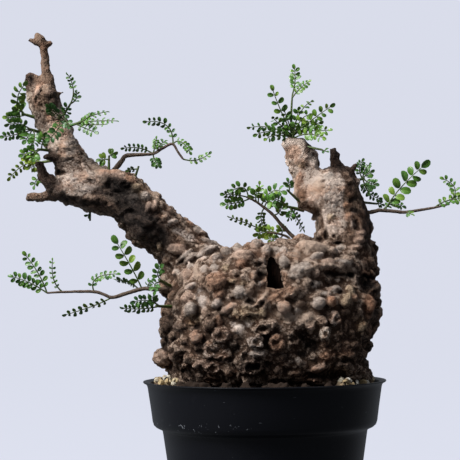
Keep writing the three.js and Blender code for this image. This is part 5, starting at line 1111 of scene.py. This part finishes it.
def grow_folds(tree, heap):
    """Half-sunk folds along their lines of sight."""
    chance = random.Random(4)
    eye = EYE * MM
    for wide, proud, _, line in FOLDS:
        points = []
        for column, row in line:
            point, normal, *_ = tree.ray_cast(eye, sight(column, row))
            if point is not None:
                points.append(point + normal * (proud - 0.5) * wide * UNIT * MM)
        if len(points) > 2:
            path = rounded_path(points, 6 * len(points))
            radii = wide / 2 * UNIT * MM * np.sin(np.linspace(0.35, math.pi - 0.35, len(path))) ** 0.5
            heap.add(*tube(path, radii, 10, 0.16, chance))


def wild_knob(point, normal, chance):
    """Half size of a knob that no row places, by where it grows, or 0 for none there."""
    x, _, z = point
    front = normal.y < -0.25
    if z < 100 or (z > 232 and x < 0):
        return 0
    if x < -78 and z > 206:                                             # upper arm
        least, most, share = 0.9, 2.2, 0.3
    elif x < -78:                                                       # end of the left arm
        least, most, share = 0.9, 2.4, 0.03 if front else 0.4
    elif z > 154 and x < 12:                                            # left arm and top of the caudex
        least, most, share = 0.8, 1.9, 0.06 if front else 0.5
    elif z > 178 and x > 10:                                            # right arm
        least, most, share = 0.9, 2.6, 0.03 if front else 0.4
    elif front:
        least, most, share = 0.8, 2.3, 0.1 if z > 165 else 0.16
    else:
        return chance.uniform(1.2, 5.2)
    return chance.uniform(least, most) * (chance.random() < share)


def grow_wild_knobs(base, heap, shapes, taken):
    """A seeded scatter over what the tables leave bare."""
    chance = random.Random(11)
    polygons = base.data.polygons
    areas = np.cumsum([polygon.area for polygon in polygons])
    wild = []
    for _ in range(KNOB_TRIES):
        polygon = polygons[int(np.searchsorted(areas, chance.random() * areas[-1]))]
        half = wild_knob(polygon.center / MM, polygon.normal, chance)
        if half:
            wild.append((half, polygon.center.copy(), polygon.normal.copy()))
    wild.sort(key=lambda item: -item[0])
    columns, rows = frame_places(np.array([list(point) for _, point, _ in wild]))
    bare = np.ones(len(wild), bool)
    for row in SKINS:
        bare &= patch(columns, rows, row) > 0.95
    tree = KDTree(len(taken))
    for i, (point, half, _) in enumerate(taken):
        tree.insert(point, i)
    tree.balance()
    sizes = [half for _, half, _ in taken]
    placed = []
    names = ["tan", "tan", "brown", "pink", "grey", "yellow", "rust", "umber"]
    for k, (half, point, normal) in enumerate(wild):
        if normal.y < 0.1 and not bare[k]:
            continue
        near = tree.find_range(point, 9 * MM)
        if any(away < (half * 0.6 + sizes[i] * 0.8) * MM for _, i, away in near):
            continue
        if any((point - other).length < (half + size) * 0.68 * MM for other, size in placed):
            continue
        placed.append((point, half))
        stretch = chance.uniform(0.75, 1.3)
        kind = chance.choices(("ball", "ring", "lips"), (0.86, 0.09, 0.05 if half > 2.6 else 0))[0]
        add_knob(heap, shapes[kind], point, knob_axes(normal, chance.uniform(-50, 50)),
                 (half * stretch, half / stretch), half * chance.uniform(0.5, 0.85), chance)
        taken.append((point, half, TONES[chance.choice(names)]))


def cut_with(piece, cutter):
    apply_modifier(piece, "BOOLEAN", operation="DIFFERENCE", object=cutter, solver="EXACT")
    removed(cutter)


def wound_cutter():
    start = seen_at(*WOUND[0], WOUND_FACE)
    corners = [Vector((start.x + (x - WOUND[0][0]), y, start.z + (z - WOUND[0][1])))
               for y in (start.y - WOUND_DEPTH - 6, start.y) for x, z in WOUND]
    count = len(WOUND)
    faces = [tuple(range(count)), tuple(reversed(range(count, 2 * count)))]
    faces += [(i, i + count, (i + 1) % count + count, (i + 1) % count) for i in range(count)]
    heap = Heap()
    heap.add(np.array([list(corner * MM) for corner in corners]), faces)
    cutter = heap.piece("wound cutter")
    edit_all(cutter)
    leave_edit(outward=True)
    return cutter


def mesh_edges(mesh):
    edges = np.empty(len(mesh.edges) * 2, int)
    mesh.edges.foreach_get("vertices", edges)
    return edges.reshape(-1, 2)


def relaxed(values, edges, rounds):
    """Values drawn to the mean of their neighbours, round after round."""
    both = np.concatenate([edges[:, 0], edges[:, 1]])
    other = np.concatenate([edges[:, 1], edges[:, 0]])
    degree = np.maximum(np.bincount(both, minlength=len(values)), 1)
    for _ in range(rounds):
        total = np.stack([np.bincount(both, weights=column[other], minlength=len(values))
                          for column in values.T], axis=1)
        values = values * 0.4 + total / degree[:, None] * 0.6
    return values


def roughness_of(corners, normals):
    """How rough the bark is: low on smooth skin, high low down on the caudex."""
    columns, rows = frame_places(corners)
    front = normals[:, 1] < 0.15
    rough = 0.68 + 0.5 * fade(rows, 300, 360)
    rough = np.where(rows < 235, 0.6, rough)
    for row in SKINS:
        if row[5] in ("tan", "skin", "pale", "pink"):
            rough = np.where(front, rough * (0.3 + 0.7 * fade(patch(columns, rows, row), 0.75, 1.15)), rough)
    for row in KNOBS:
        calm = 0.5 if row[6] in ("grey", "pale", "pink") else 0.95
        rough = np.where(front, rough * (calm + (1 - calm) * fade(patch(columns, rows, row), 0.75, 1.15)), rough)
    return rough


def weather(piece):
    """Hollows, lumps and wrinkles pressed into the bark's corners."""
    mesh = piece.data
    corners, normals = coordinates(mesh), mesh_normals(mesh)
    columns, rows = frame_places(corners)
    facing = fade(-normals[:, 1], -0.2, 0.3)
    front = corners[:, 1] < 0.012
    shift = np.zeros(len(corners))
    rough = roughness_of(corners, normals)
    lift, ragged = np.empty(len(corners)), np.empty(len(corners))
    for i, corner in enumerate(corners):
        point = Vector(corner) / MM     # each noise is divided by its wave length in mm
        lumps = noise.fractal(point / 3.6, 0.7, 2.1, 3)
        swell = noise.turbulence(point / 5.2, 4, True) - 0.42
        folds = 0.3 - abs(noise.noise(point / 2.7 + Vector((lumps, 0, lumps)) * 0.8)) * 1.4
        grit = 0.25 - abs(noise.noise(point / 1.3))
        lift[i] = 0.42 * lumps + 1.5 * swell + 0.55 * folds + 0.22 * grit
        ragged[i] = 0.22 * lumps + 0.16 * folds
    for row in HOLLOWS:
        shift += np.where(front, row[5] * MM * facing * (1 - fade(patch(columns, rows, row) + ragged, 0.25, 1.05)), 0)
    lift *= rough
    for row in WRINKLES:
        slope = math.radians(row[5])
        across = columns * math.sin(slope) + rows * math.cos(slope) + 6 * ragged * row[6]
        inside = (1 - fade(patch(columns, rows, row), 0.6, 1.1)) * facing
        lift += inside * row[7] * (np.sin(across * 2 * math.pi / row[6]) + 0.6 * np.sin(across * 3.7 / row[6]))
    corners = corners + normals * (lift * MM)[:, None]
    corners[:, 1] += np.minimum(shift, 5.5 * MM)
    move_corners(mesh, corners)


def openness(piece):
    """Share of the sky over each corner that the bark nearby leaves open."""
    tree = surface_tree(piece)
    corners, normals = coordinates(piece.data), mesh_normals(piece.data)
    rays = []
    for k in range(SKY_RAYS):
        lean, turn = math.radians(SKY_LEANS[k % 3]), k * 2.4
        rays.append((math.sin(lean) * math.cos(turn), math.sin(lean) * math.sin(turn), math.cos(lean)))
    share = np.empty(len(corners))
    for i, (corner, normal) in enumerate(zip(corners, normals)):
        normal = Vector(normal)
        side = normal.orthogonal().normalized()
        up = normal.cross(side)
        start = Vector(corner) + normal * 0.15 * MM
        free = sum(tree.ray_cast(start, side * a + up * b + normal * c, 7 * MM)[0] is None for a, b, c in rays)
        share[i] = free / len(rays)
    return relaxed(share[:, None], mesh_edges(piece.data), 2)[:, 0]


def line_distance(places, line):
    """How far each place lies from a line of straight runs."""
    away = np.full(len(places), np.inf)
    for start, end in zip(line, line[1:]):
        way, offset = np.array(end, float) - np.array(start), places - np.array(start)
        share = np.clip(offset @ way / (way @ way), 0, 1)
        away = np.minimum(away, np.linalg.norm(offset - share[:, None] * way, axis=1))
    return away


def paint_bark(piece, taken):
    """Stores bark_form and bark_tone_and_shade for each corner. The tone has painted shade laid into the hollows and
    onto the sides turned from the light.
    """
    mesh = piece.data
    corners, edges, normals = coordinates(mesh), mesh_edges(mesh), mesh_normals(mesh)
    columns, rows = frame_places(corners)
    x, y, z = (corners / MM).T
    tone = np.tile(TONES["tan"], (len(corners), 1))

    def lay(share, name, amount=1.0):
        tone[:] = tone + (np.array(TONES[name]) - tone) * (share * amount)[:, None]

    lay(fade(z, 170, 182) * fade(x, 0, 10), "skin", 0.8)
    lay(fade(-x, 70, 84) * fade(z, 175, 186), "skin", 0.6)
    # darker towards the bottom of the caudex
    lay(fade(-z, -116, -101), "umber", 0.18)
    tree = KDTree(len(taken))
    for i, knob in enumerate(taken):
        tree.insert(knob[0], i)
    tree.balance()
    tints, nearness = np.empty((len(corners), 3)), np.empty(len(corners))
    for k, corner in enumerate(corners):
        _, i, away = tree.find(corner)
        tints[k] = taken[i][2]
        nearness[k] = away / (taken[i][1] * MM)
    front = fade(-normals[:, 1], -0.3, 0.1)
    tone += (tints - tone) * ((1 - fade(nearness, 0.8, 1.5)) * (1 - front) * 0.7)[:, None]
    for row in SKINS:
        lay((1 - fade(patch(columns, rows, row), 0.7, 1.2)) * front, row[5])
    for row in KNOBS + RINGS + MOUTHS:
        lay((1 - fade(patch(columns, rows, row), 0.8, 1.25)) * front, row[6], 0.68)
    for wide, _, name, line in FOLDS:
        away = line_distance(np.column_stack([columns, rows]), line)
        lay((1 - fade(away, wide * 0.35, wide * 0.7)) * front, name, 0.8)
    # painted shade: each hollow is laid over with black, as dark as its row says
    for row in HOLLOWS:
        lay((1 - fade(patch(columns, rows, row), 0.4, 1.1)) * front, "black", row[6] * 0.85)
    thin = np.zeros(len(corners))
    for name, stub in STUBS:
        away = line_distance(corners / MM, [seen_at(x, z, y) for x, z, y, _ in stub])
        nearby = 1 - fade(away, 3.2, 5.5)
        lay(nearby, name, 0.8)
        thin = np.maximum(thin, nearby)
    fine = relaxed(corners, edges, 6)
    form = np.empty((len(corners), 3))
    form[:, 0] = np.clip(0.5 + ((corners - fine) * normals).sum(1) / (0.5 * MM), 0, 1)
    form[:, 0] += (0.56 - form[:, 0]) * thin
    form[:, 1] = openness(piece)
    form[:, 2] = np.clip(roughness_of(corners, normals), 0, 1)
    store_colors(mesh, "bark_form", form)
    store_colors(mesh, "bark_tone_and_shade", tone)


def build_trunk():
    look = bpy.context.scene.bonsai_bark
    base = smoothed_trunk()
    tree = surface_tree(base)
    heap, taken, shapes = Heap(), [], knob_shapes()
    grow_seen_knobs(tree, heap, shapes, taken)
    grow_folds(tree, heap)
    grow_wild_knobs(base, heap, shapes, taken)
    chance = random.Random(5)
    for _, stub in STUBS:
        path = rounded_path([seen_at(x, z, y) * MM for x, z, y, _ in stub], 14)
        radii = spread_radii([radius * MM for *_, radius in stub], len(path))
        heap.add(*tube(path, radii * 1.02, 12, 0.14, chance))
    knobs = heap.piece("knobs")
    select_only(knobs, base)
    bpy.ops.object.join()
    apply_modifier(base, "REMESH", mode="VOXEL", voxel_size=look.voxel)
    cut_with(base, wound_cutter())
    apply_modifier(base, "SMOOTH", factor=0.5, iterations=1)
    weather(base)
    triangles = len(base.data.polygons) * 2
    apply_modifier(base, "DECIMATE", ratio=min(1, look.most_triangles / triangles))
    paint_bark(base, taken)
    smooth_shaded(base)
    base.data.materials.clear()
    base.data.materials.append(bark_material())
    base.data.materials.append(shaded_dead_wood_material())
    paint_wound(base)
    return base


def within(x, z, outline):
    """Whether a point lies inside a closed outline."""
    inside = False
    for (a, b), (c, d) in zip(outline, outline[1:] + outline[:1]):
        if (b > z) != (d > z) and x < a + (z - b) * (c - a) / (d - b):
            inside = not inside
    return inside


def paint_wound(base):
    """Gives the faces inside the wound their dead wood, painted almost black as the shade in the wound."""
    start = seen_at(*WOUND[0], WOUND_FACE)
    # the outline a little wider, about a middle 4 mm right of its start and 8 mm over it
    outline = [[start.x + 4 + (x - WOUND[0][0] - 4) * 1.12, start.z + 8 + (z - WOUND[0][1] - 8) * 1.04]
               for x, z in WOUND]
    for polygon in base.data.polygons:
        x, y, z = polygon.center / MM
        if start.y - 12 < y < start.y + 1 and within(x, z, outline):
            if y > start.y - 1.2 or polygon.normal.y > -0.35:
                polygon.material_index = 1


# Leafy sprays

def leaf_shape():
    """One leaflet, 1 long and 0.7 wide, with a cupped blade and a fold along its midrib."""
    piece = fresh_primitive(
        bpy.ops.mesh.primitive_uv_sphere_add, "leaflet", segments=10, ring_count=5, radius=0.5)
    edit_all(piece)
    bpy.ops.transform.resize(value=(1, 0.68, 0.1))
    bpy.ops.transform.translate(value=(0.5, 0, 0))
    leave_edit()
    for vertex in piece.data.vertices:
        x, y, z = vertex.co
        y *= 0.86 + 0.28 * x
        z += 0.34 * abs(y) - 0.16 * (x - 0.5) ** 2 * 2
        vertex.co = (x, y, z)
    return taken_shape(piece)


def frond_line(twig, row, place, spur):
    start_x, start_z, middle_x, middle_z, tip_x, tip_z, tip_y = row[:7]
    if spur:
        start = twig[round((0.68 + 0.3 * place) * (len(twig) - 1))].copy()
    else:
        target = seen_at(start_x, start_z, twig[int(0.6 * (len(twig) - 1))].y)
        start = min(twig, key=lambda point: (point - target).length).copy()
    tip = seen_at(tip_x, tip_z, tip_y)
    middle = seen_at(middle_x, middle_z, (start.y + tip_y) / 2)
    bend = 2 * middle - 0.5 * start - 0.5 * tip
    points = [start * (1 - t) ** 2 + bend * (2 * t * (1 - t)) + tip * t ** 2 for t in np.linspace(0, 1, 41)]
    lengths = np.cumsum([0] + [(b - a).length for a, b in zip(points, points[1:])])
    return points, lengths


def grow_frond(heap, leaf, line, row, youth, fullness, chance, trunk_tree):
    points, lengths = line
    pairs, size, turn = row[7:]
    length = lengths[-1]
    table = np.array([list(point) for point in points])

    def at(along):
        return Vector([np.interp(along, lengths, table[:, k]) for k in range(3)])

    def way_at(along):
        return (at(min(along + 0.3, length)) - at(max(along - 0.3, 0))).normalized()

    chord = points[-1] - points[0]
    angle = math.radians(turn)
    facing = Vector((-chord.z, 0, chord.x)).normalized() * math.sin(angle)
    facing.y = -math.cos(angle)
    rib = [at(along) * MM for along in np.linspace(0, length - size * 0.45, 12)]
    radii = np.linspace(0.42, 0.2, len(rib)) * MM
    heap.add(*tube(rib, radii, 5), slot=1, tint=(youth, 0.5, 0.5))
    reach = bpy.context.scene.bonsai_foliage.leaflet_size * fullness

    def add_leaflet(along, side, leaf_length):
        way = way_at(along)
        normal = (facing - way * facing.dot(way)).normalized()
        across = normal.cross(way)
        lean = math.radians(chance.uniform(50, 68)) if side else 0
        direction = way * math.cos(lean) + across * side * math.sin(lean)
        droop = chance.uniform(-0.28, 0.18)
        direction = (direction + normal * droop).normalized()
        blade_normal = normal + across * chance.uniform(-0.75, 0.75) + way * chance.uniform(-0.5, 0.5)
        blade_normal = (blade_normal - direction * blade_normal.dot(direction)).normalized()
        origin = at(along) + across * side * 0.25
        middle = (origin + direction * leaf_length * 0.5) * MM
        near, surface_normal, _, away = trunk_tree.find_nearest(middle)
        if near is not None and (middle - near).dot(surface_normal) < 0.6 * MM and away < 8 * MM:
            return
        axes = (direction, blade_normal.cross(direction), blade_normal)
        scale = [leaf_length * MM * reach] * 3
        tints = np.stack([
            np.full(len(leaf[0]), min(1, max(0, youth + chance.uniform(-0.1, 0.1)))),
            np.clip(np.abs(leaf[0][:, 1]) / 0.34, 0, 1),
            np.full(len(leaf[0]), chance.random()),
        ], axis=1)
        heap.add(moved(leaf[0], origin * MM, axes, scale), leaf[1], slot=2, tint=tints)

    first = min(2.4, length * 0.2)
    spacing = (length - size * 0.8 - first) / max(pairs, 1)
    for i in range(pairs):
        for side in (-1, 1):
            along = first + spacing * (i + 0.5) + chance.uniform(-0.12, 0.12) * spacing
            swell = 0.72 + 0.3 * math.sin(math.pi * (i + 0.8) / (pairs + 0.6))
            add_leaflet(along, side, size * swell * chance.uniform(0.78, 1.08))
    add_leaflet(length - size * 0.8, 0, size * 0.9)


def build_spray(row, leaf, materials, trunk_tree):
    chance = random.Random(row["name"])
    age, woody = row["age"], row.get("woody", False)
    heap = Heap()
    points = [seen_at(x, z, y) for x, z, y, _ in row["twig"]]
    way = (points[1] - points[0]).normalized()
    path = [points[0] - way * 1.6, points[0] + way * 6]
    path += [point for point in points[1:] if (point - points[0]).length > 7]
    spur = len(path) < 3
    if spur:
        path.append(path[1] + way * 1.5)
    twig = rounded_path(path, 40)
    coarse = [point * MM for point in rounded_path(path, 5 * len(path))]
    radii = spread_radii([radius * MM for *_, radius in row["twig"]], len(coarse))
    heap.add(*tube(coarse, radii, 8, 0.1 if woody else 0.04, chance), slot=0 if woody else 1,
             tint=(age, 0.5, 0.5))
    fronds = row["fronds"]
    for i, frond in enumerate(fronds):
        line = frond_line(twig, frond, (i + 0.5) / len(fronds), spur)
        youth = age + chance.uniform(-0.12, 0.12)
        grow_frond(heap, leaf, line, frond, youth, row["leaflet"], chance, trunk_tree)
    piece = heap.piece(row["name"] + "_leaves", "leaf_form")
    for material in materials:
        piece.data.materials.append(material)
    smooth_shaded(piece, 50)
    return piece


# Soil, grains and pot

def build_soil():
    """The filling as one crumbly bed."""
    soil = smoothed_copy("soil", "soil_bed", 1.2, 2)
    corners = coordinates(soil.data)
    corners[:, 2] += [noise.turbulence(Vector(corner) / (2.6 * MM), 3, True) * 1.1 * MM - 0.5 * MM
                      for corner in corners]
    move_corners(soil.data, corners)
    smooth_shaded(soil)
    soil.data.materials.append(soil_material())
    return soil


def pebble(index):
    """A rough grain with flattened sides."""
    piece = fresh_primitive(
        bpy.ops.mesh.primitive_ico_sphere_add, "pebble", subdivisions=2, radius=1)
    chance = random.Random(40 + index)
    planes = [(Vector([chance.gauss(0, 1) for _ in range(3)]).normalized(), chance.uniform(0.55, 0.85))
              for _ in range(7)]
    for vertex in piece.data.vertices:
        co = vertex.co.copy()
        for normal, depth in planes:
            over = co.dot(normal) - depth
            if over > 0:
                co -= normal * over
        vertex.co = co
    return taken_shape(piece)


def scatter_grit(trunk_tree):
    """Loose grains over the soil, between the pot's lip and the trunk."""
    chance = random.Random(17)
    shapes = [pebble(i) for i in range(5)]
    heap = Heap()
    placed = []
    for _ in range(GRAIN_TRIES):
        turn, radius = chance.uniform(0, 2 * math.pi), 55 * math.sqrt(chance.random())
        size = chance.uniform(1.0, 2.7)
        x, y = radius * math.cos(turn), radius * math.sin(turn)
        edge = y < 12                   # at the front only the soil's two edges show
        if edge and -43 < x < 35:
            continue
        if edge:
            size = chance.uniform(1.5, 2.7)
        point = Vector((x, y, SOIL_TOP + size * 0.35 + chance.choice((0, 0.4, 1)) * (2 if edge else 1.6)))
        if radius + size > SOIL_REACH:
            continue
        near, normal, _, away = trunk_tree.find_nearest(point * MM)
        if away < (size + 0.1) * MM or (point * MM - near).dot(normal) < 0:
            continue
        if any((point - other).length < (size + reach) * 0.72 for other, reach in placed):
            continue
        placed.append((point, size))
        spin = Matrix.Rotation(chance.uniform(0, 6.3), 3, "Z") @ Matrix.Rotation(chance.uniform(0, 6.3), 3, "X")
        corners, faces = chance.choice(shapes)
        shade = chance.uniform(0.35, 1) if edge else chance.random()
        heap.add(moved(corners, point * MM, [spin.col[k] for k in range(3)],
                       [size * MM, size * chance.uniform(0.7, 1) * MM, size * chance.uniform(0.6, 0.85) * MM]),
                 faces, tint=(shade, 0.5, 0.5))
    piece = heap.piece("soil_grains", "grit_form")
    piece.data.materials.append(grit_material())
    return piece


def build_pot():
    piece = turned_shape("pot_shell", [[radius * MM, height * MM] for radius, height in POT_PROFILE], 128)
    for k in range(DRAIN_HOLES):
        turn = 2 * math.pi * (k + 0.5) / DRAIN_HOLES
        drill = fresh_primitive(
            bpy.ops.mesh.primitive_cylinder_add, "drill", vertices=24, radius=DRAIN_RADIUS * MM, depth=8 * MM,
            location=(DRAIN_RING * MM * math.cos(turn), DRAIN_RING * MM * math.sin(turn), 0.9 * MM))
        cut_with(piece, drill)
    smooth_shaded(piece, 40)
    piece.data.materials.append(pot_material())
    return piece


# Stage

def build_floor(look):
    """A wide floor that curves up into the backdrop. It glows evenly and lights nothing."""
    rings = [[1.3, 0], [1.9, 0], [2.15, 0.04], [2.35, 0.16], [2.5, 0.36], [2.58, 0.65], [2.6, 1.2], [2.6, 2.6]]
    floor = fresh_primitive(
        bpy.ops.mesh.primitive_circle_add, "studio_floor", vertices=96, radius=rings[0][0], fill_type="NGON")
    edit_all(floor)
    bpy.ops.mesh.select_mode(type="FACE")
    bpy.ops.mesh.select_all(action="SELECT")
    bpy.ops.mesh.region_to_loop()
    extrude_rings(rings)
    leave_edit()
    smooth_shaded(floor)
    for ray in ("visible_diffuse", "visible_glossy", "visible_transmission", "visible_shadow"):
        setattr(floor, ray, False)
    material, _, shader = new_material("studio paper", 0.9, 0.1)
    shader.inputs["Base Color"].default_value = [value * 0.04 for value in look.paper] + [1]
    shader.inputs["Emission Color"].default_value = (*look.paper, 1)
    shader.inputs["Emission Strength"].default_value = look.glow
    floor.data.materials.append(material)


def build_air(look):
    """Soft light from the room, stronger overhead, behind and at the left."""
    world = bpy.data.worlds.new("studio air")
    bpy.context.scene.world = world
    world.use_nodes = True
    nodes = Nodes(world.node_tree)
    way = nodes.add("ShaderNodeTexCoord").outputs["Generated"]
    parts = nodes.add("ShaderNodeSeparateXYZ", {"Vector": way})
    behind = nodes.times(nodes.steps(parts.outputs["Y"], 0.1, 0.9), look.back_wall)
    above = nodes.times(nodes.steps(parts.outputs["Z"], 0.1, 1.0), look.ceiling)
    left = nodes.flipped(nodes.steps(parts.outputs["X"], -0.9, -0.1))
    behind = nodes.plus(behind, nodes.times(left, look.left_wall))
    background = world.node_tree.nodes["Background"]
    background.inputs["Color"].default_value = (0.84, 0.9, 1.0, 1)
    nodes.feed(background.inputs["Strength"], nodes.plus(look.room, nodes.plus(behind, above)))


def build_lamps(look):
    aim = Vector((0, 0, 0.16))
    for name, place, width, power, tone in (
        ("key softbox", (-0.85, -0.5, 1.2), 0.6, look.key, (1.0, 0.985, 0.96)),
        ("right fill", (1.0, -0.9, 0.7), 0.8, look.fill, (0.93, 0.96, 1.0)),
    ):
        data = bpy.data.lights.new(name, "AREA")
        data.energy, data.size, data.color = power, width, tone
        lamp = linked(name, data)
        lamp.location = place
        lamp.rotation_euler = (aim - Vector(place)).to_track_quat("-Z", "Y").to_euler()
        lamp.visible_camera = False


def build_camera():
    camera_data = bpy.data.cameras.new("photo camera")
    camera = linked("photo camera", camera_data)
    camera.matrix_world = Matrix.Translation(EYE * MM) @ CAMERA_TURN.to_4x4()
    camera_data.sensor_width = 36
    camera_data.lens = FRAME_REACH / FRAME_SIZE * camera_data.sensor_width
    camera_data.clip_start = 0.01
    bpy.context.scene.camera = camera


def build_stage():
    look = bpy.context.scene.bonsai_stage
    build_floor(look)
    build_air(look)
    build_lamps(look)
    build_camera()
    bpy.context.scene.view_settings.view_transform = "Standard"


# User settings, operators and panel

def color_property(name, description, default):
    return FloatVectorProperty(
        name=name, description=description, default=default, min=0, max=1, subtype="COLOR")


def share_property(name, description, default, most=1):
    return FloatProperty(
        name=name, description=description, default=default, min=0, max=most, subtype="FACTOR")


class BarkSettings(PropertyGroup):
    # the crevice and side tints paint shade into the bark's closed-in and lower places; the crevice tint stands for
    # soil there as well
    crevice_shade_and_grime: color_property("Crevice", "Tint of the deep creases", (0.11, 0.08, 0.065))
    side: color_property("Side", "Tint of the rough sides", (0.36, 0.29, 0.245))
    bleach: share_property("Bleach", "How pale the worn tops are", 0.7)
    voxel: FloatProperty(
        name="Detail", description="Cell of the bark's mesh", default=0.00064, min=0.0005, unit="LENGTH")
    most_triangles: IntProperty(
        name="Most triangles", description="Size of the finished mesh", default=196000, min=20000)


class FoliageSettings(PropertyGroup):
    old_leaf: color_property("Old leaf", "Colour of the oldest leaflets", (0.03, 0.1, 0.024))
    leaf: color_property("Leaf", "Colour of full-grown leaflets", (0.085, 0.21, 0.026))
    young_leaf: color_property("Young leaf", "Colour of new leaflets", (0.3, 0.42, 0.045))
    leaflet_size: share_property("Leaflet size", "Factor on each leaflet's size", 0.86, 1.5)


class PotSettings(PropertyGroup):
    plastic: color_property("Plastic", "Colour of the pot", (0.0026, 0.0029, 0.0052))
    roughness: share_property("Roughness", "Base roughness of the plastic", 0.3)
    dust: share_property("Dust", "Amount of pale dust", 0.1)


class StageSettings(PropertyGroup):
    paper: color_property("Paper", "Colour of the floor and backdrop", (0.684, 0.708, 0.81))
    glow: FloatProperty(name="Glow", description="Brightness of the backdrop", default=1.0, min=0)
    key: FloatProperty(name="Key", description="Power of the upper light", default=37, min=0, unit="POWER")
    fill: FloatProperty(name="Fill", description="Power of the side light", default=0.6, min=0, unit="POWER")
    room: FloatProperty(name="Room", description="Brightness all around", default=0.095, min=0)
    ceiling: FloatProperty(name="Ceiling", description="Extra brightness overhead", default=0.37, min=0)
    back_wall: FloatProperty(name="Back wall", description="Extra brightness behind", default=0.1, min=0)
    left_wall: FloatProperty(name="Left wall", description="Extra brightness at the left", default=0.12, min=0)


class BONSAI_OT_trunk(Operator):
    """Dress the knobbly caudex and its arms"""
    bl_idname = "bonsai.trunk"
    bl_label = "Trunk"

    def execute(self, context):
        trunk = build_trunk()
        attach(trunk, "root")
        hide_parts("trunk")
        return {"FINISHED"}


class BONSAI_OT_sprays(Operator):
    """Grow the leafy sprays"""
    bl_idname = "bonsai.sprays"
    bl_label = "Leafy sprays"

    def execute(self, context):
        leaf = leaf_shape()
        materials = [twig_material(), stem_material(), leaf_material()]
        tree = surface_tree(bpy.data.objects["trunk_bark"])
        for row in SPRAYS:
            spray = build_spray(row, leaf, materials, tree)
            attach(spray, "root")
            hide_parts(row["name"])
        return {"FINISHED"}


class BONSAI_OT_soil(Operator):
    """Finish the soil and scatter loose grains on it"""
    bl_idname = "bonsai.soil"
    bl_label = "Soil"

    def execute(self, context):
        soil = build_soil()
        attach(soil, "root")
        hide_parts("soil")
        grains = scatter_grit(surface_tree(bpy.data.objects["trunk_bark"]))
        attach(grains, "root")
        return {"FINISHED"}


class BONSAI_OT_pot(Operator):
    """Make the moulded pot"""
    bl_idname = "bonsai.pot"
    bl_label = "Pot"

    def execute(self, context):
        pot = build_pot()
        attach(pot, "root")
        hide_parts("pot")
        return {"FINISHED"}


class BONSAI_OT_stage(Operator):
    """Set the floor, lights and camera"""
    bl_idname = "bonsai.stage"
    bl_label = "Stage"

    def execute(self, context):
        build_stage()
        return {"FINISHED"}


class BONSAI_PT_sidebar(Panel):
    bl_label = "Bonsai"
    bl_space_type = "VIEW_3D"
    bl_region_type = "UI"
    bl_category = "Bonsai"

    def draw(self, context):
        for operator in OPERATORS:
            self.layout.operator(operator.bl_idname)
        for name in SETTINGS:
            box = self.layout.box()
            group = getattr(context.scene, name)
            for key in group.__annotations__:
                box.prop(group, key)


OPERATORS = [BONSAI_OT_trunk, BONSAI_OT_sprays, BONSAI_OT_soil, BONSAI_OT_pot, BONSAI_OT_stage]
SETTINGS = {
    "bonsai_bark": BarkSettings,
    "bonsai_foliage": FoliageSettings,
    "bonsai_pot": PotSettings,
    "bonsai_stage": StageSettings,
}


def register():
    for group in (*SETTINGS.values(), *OPERATORS, BONSAI_PT_sidebar):
        bpy.utils.register_class(group)
    for name, group in SETTINGS.items():
        setattr(bpy.types.Scene, name, PointerProperty(type=group))


def unregister():
    for name in SETTINGS:
        delattr(bpy.types.Scene, name)
    for group in reversed((*SETTINGS.values(), *OPERATORS, BONSAI_PT_sidebar)):
        bpy.utils.unregister_class(group)


def main():
    register()
    bpy.ops.bonsai.trunk()
    bpy.ops.bonsai.sprays()
    bpy.ops.bonsai.soil()
    bpy.ops.bonsai.pot()
    bpy.ops.bonsai.stage()


if __name__ == "__main__":
    main()
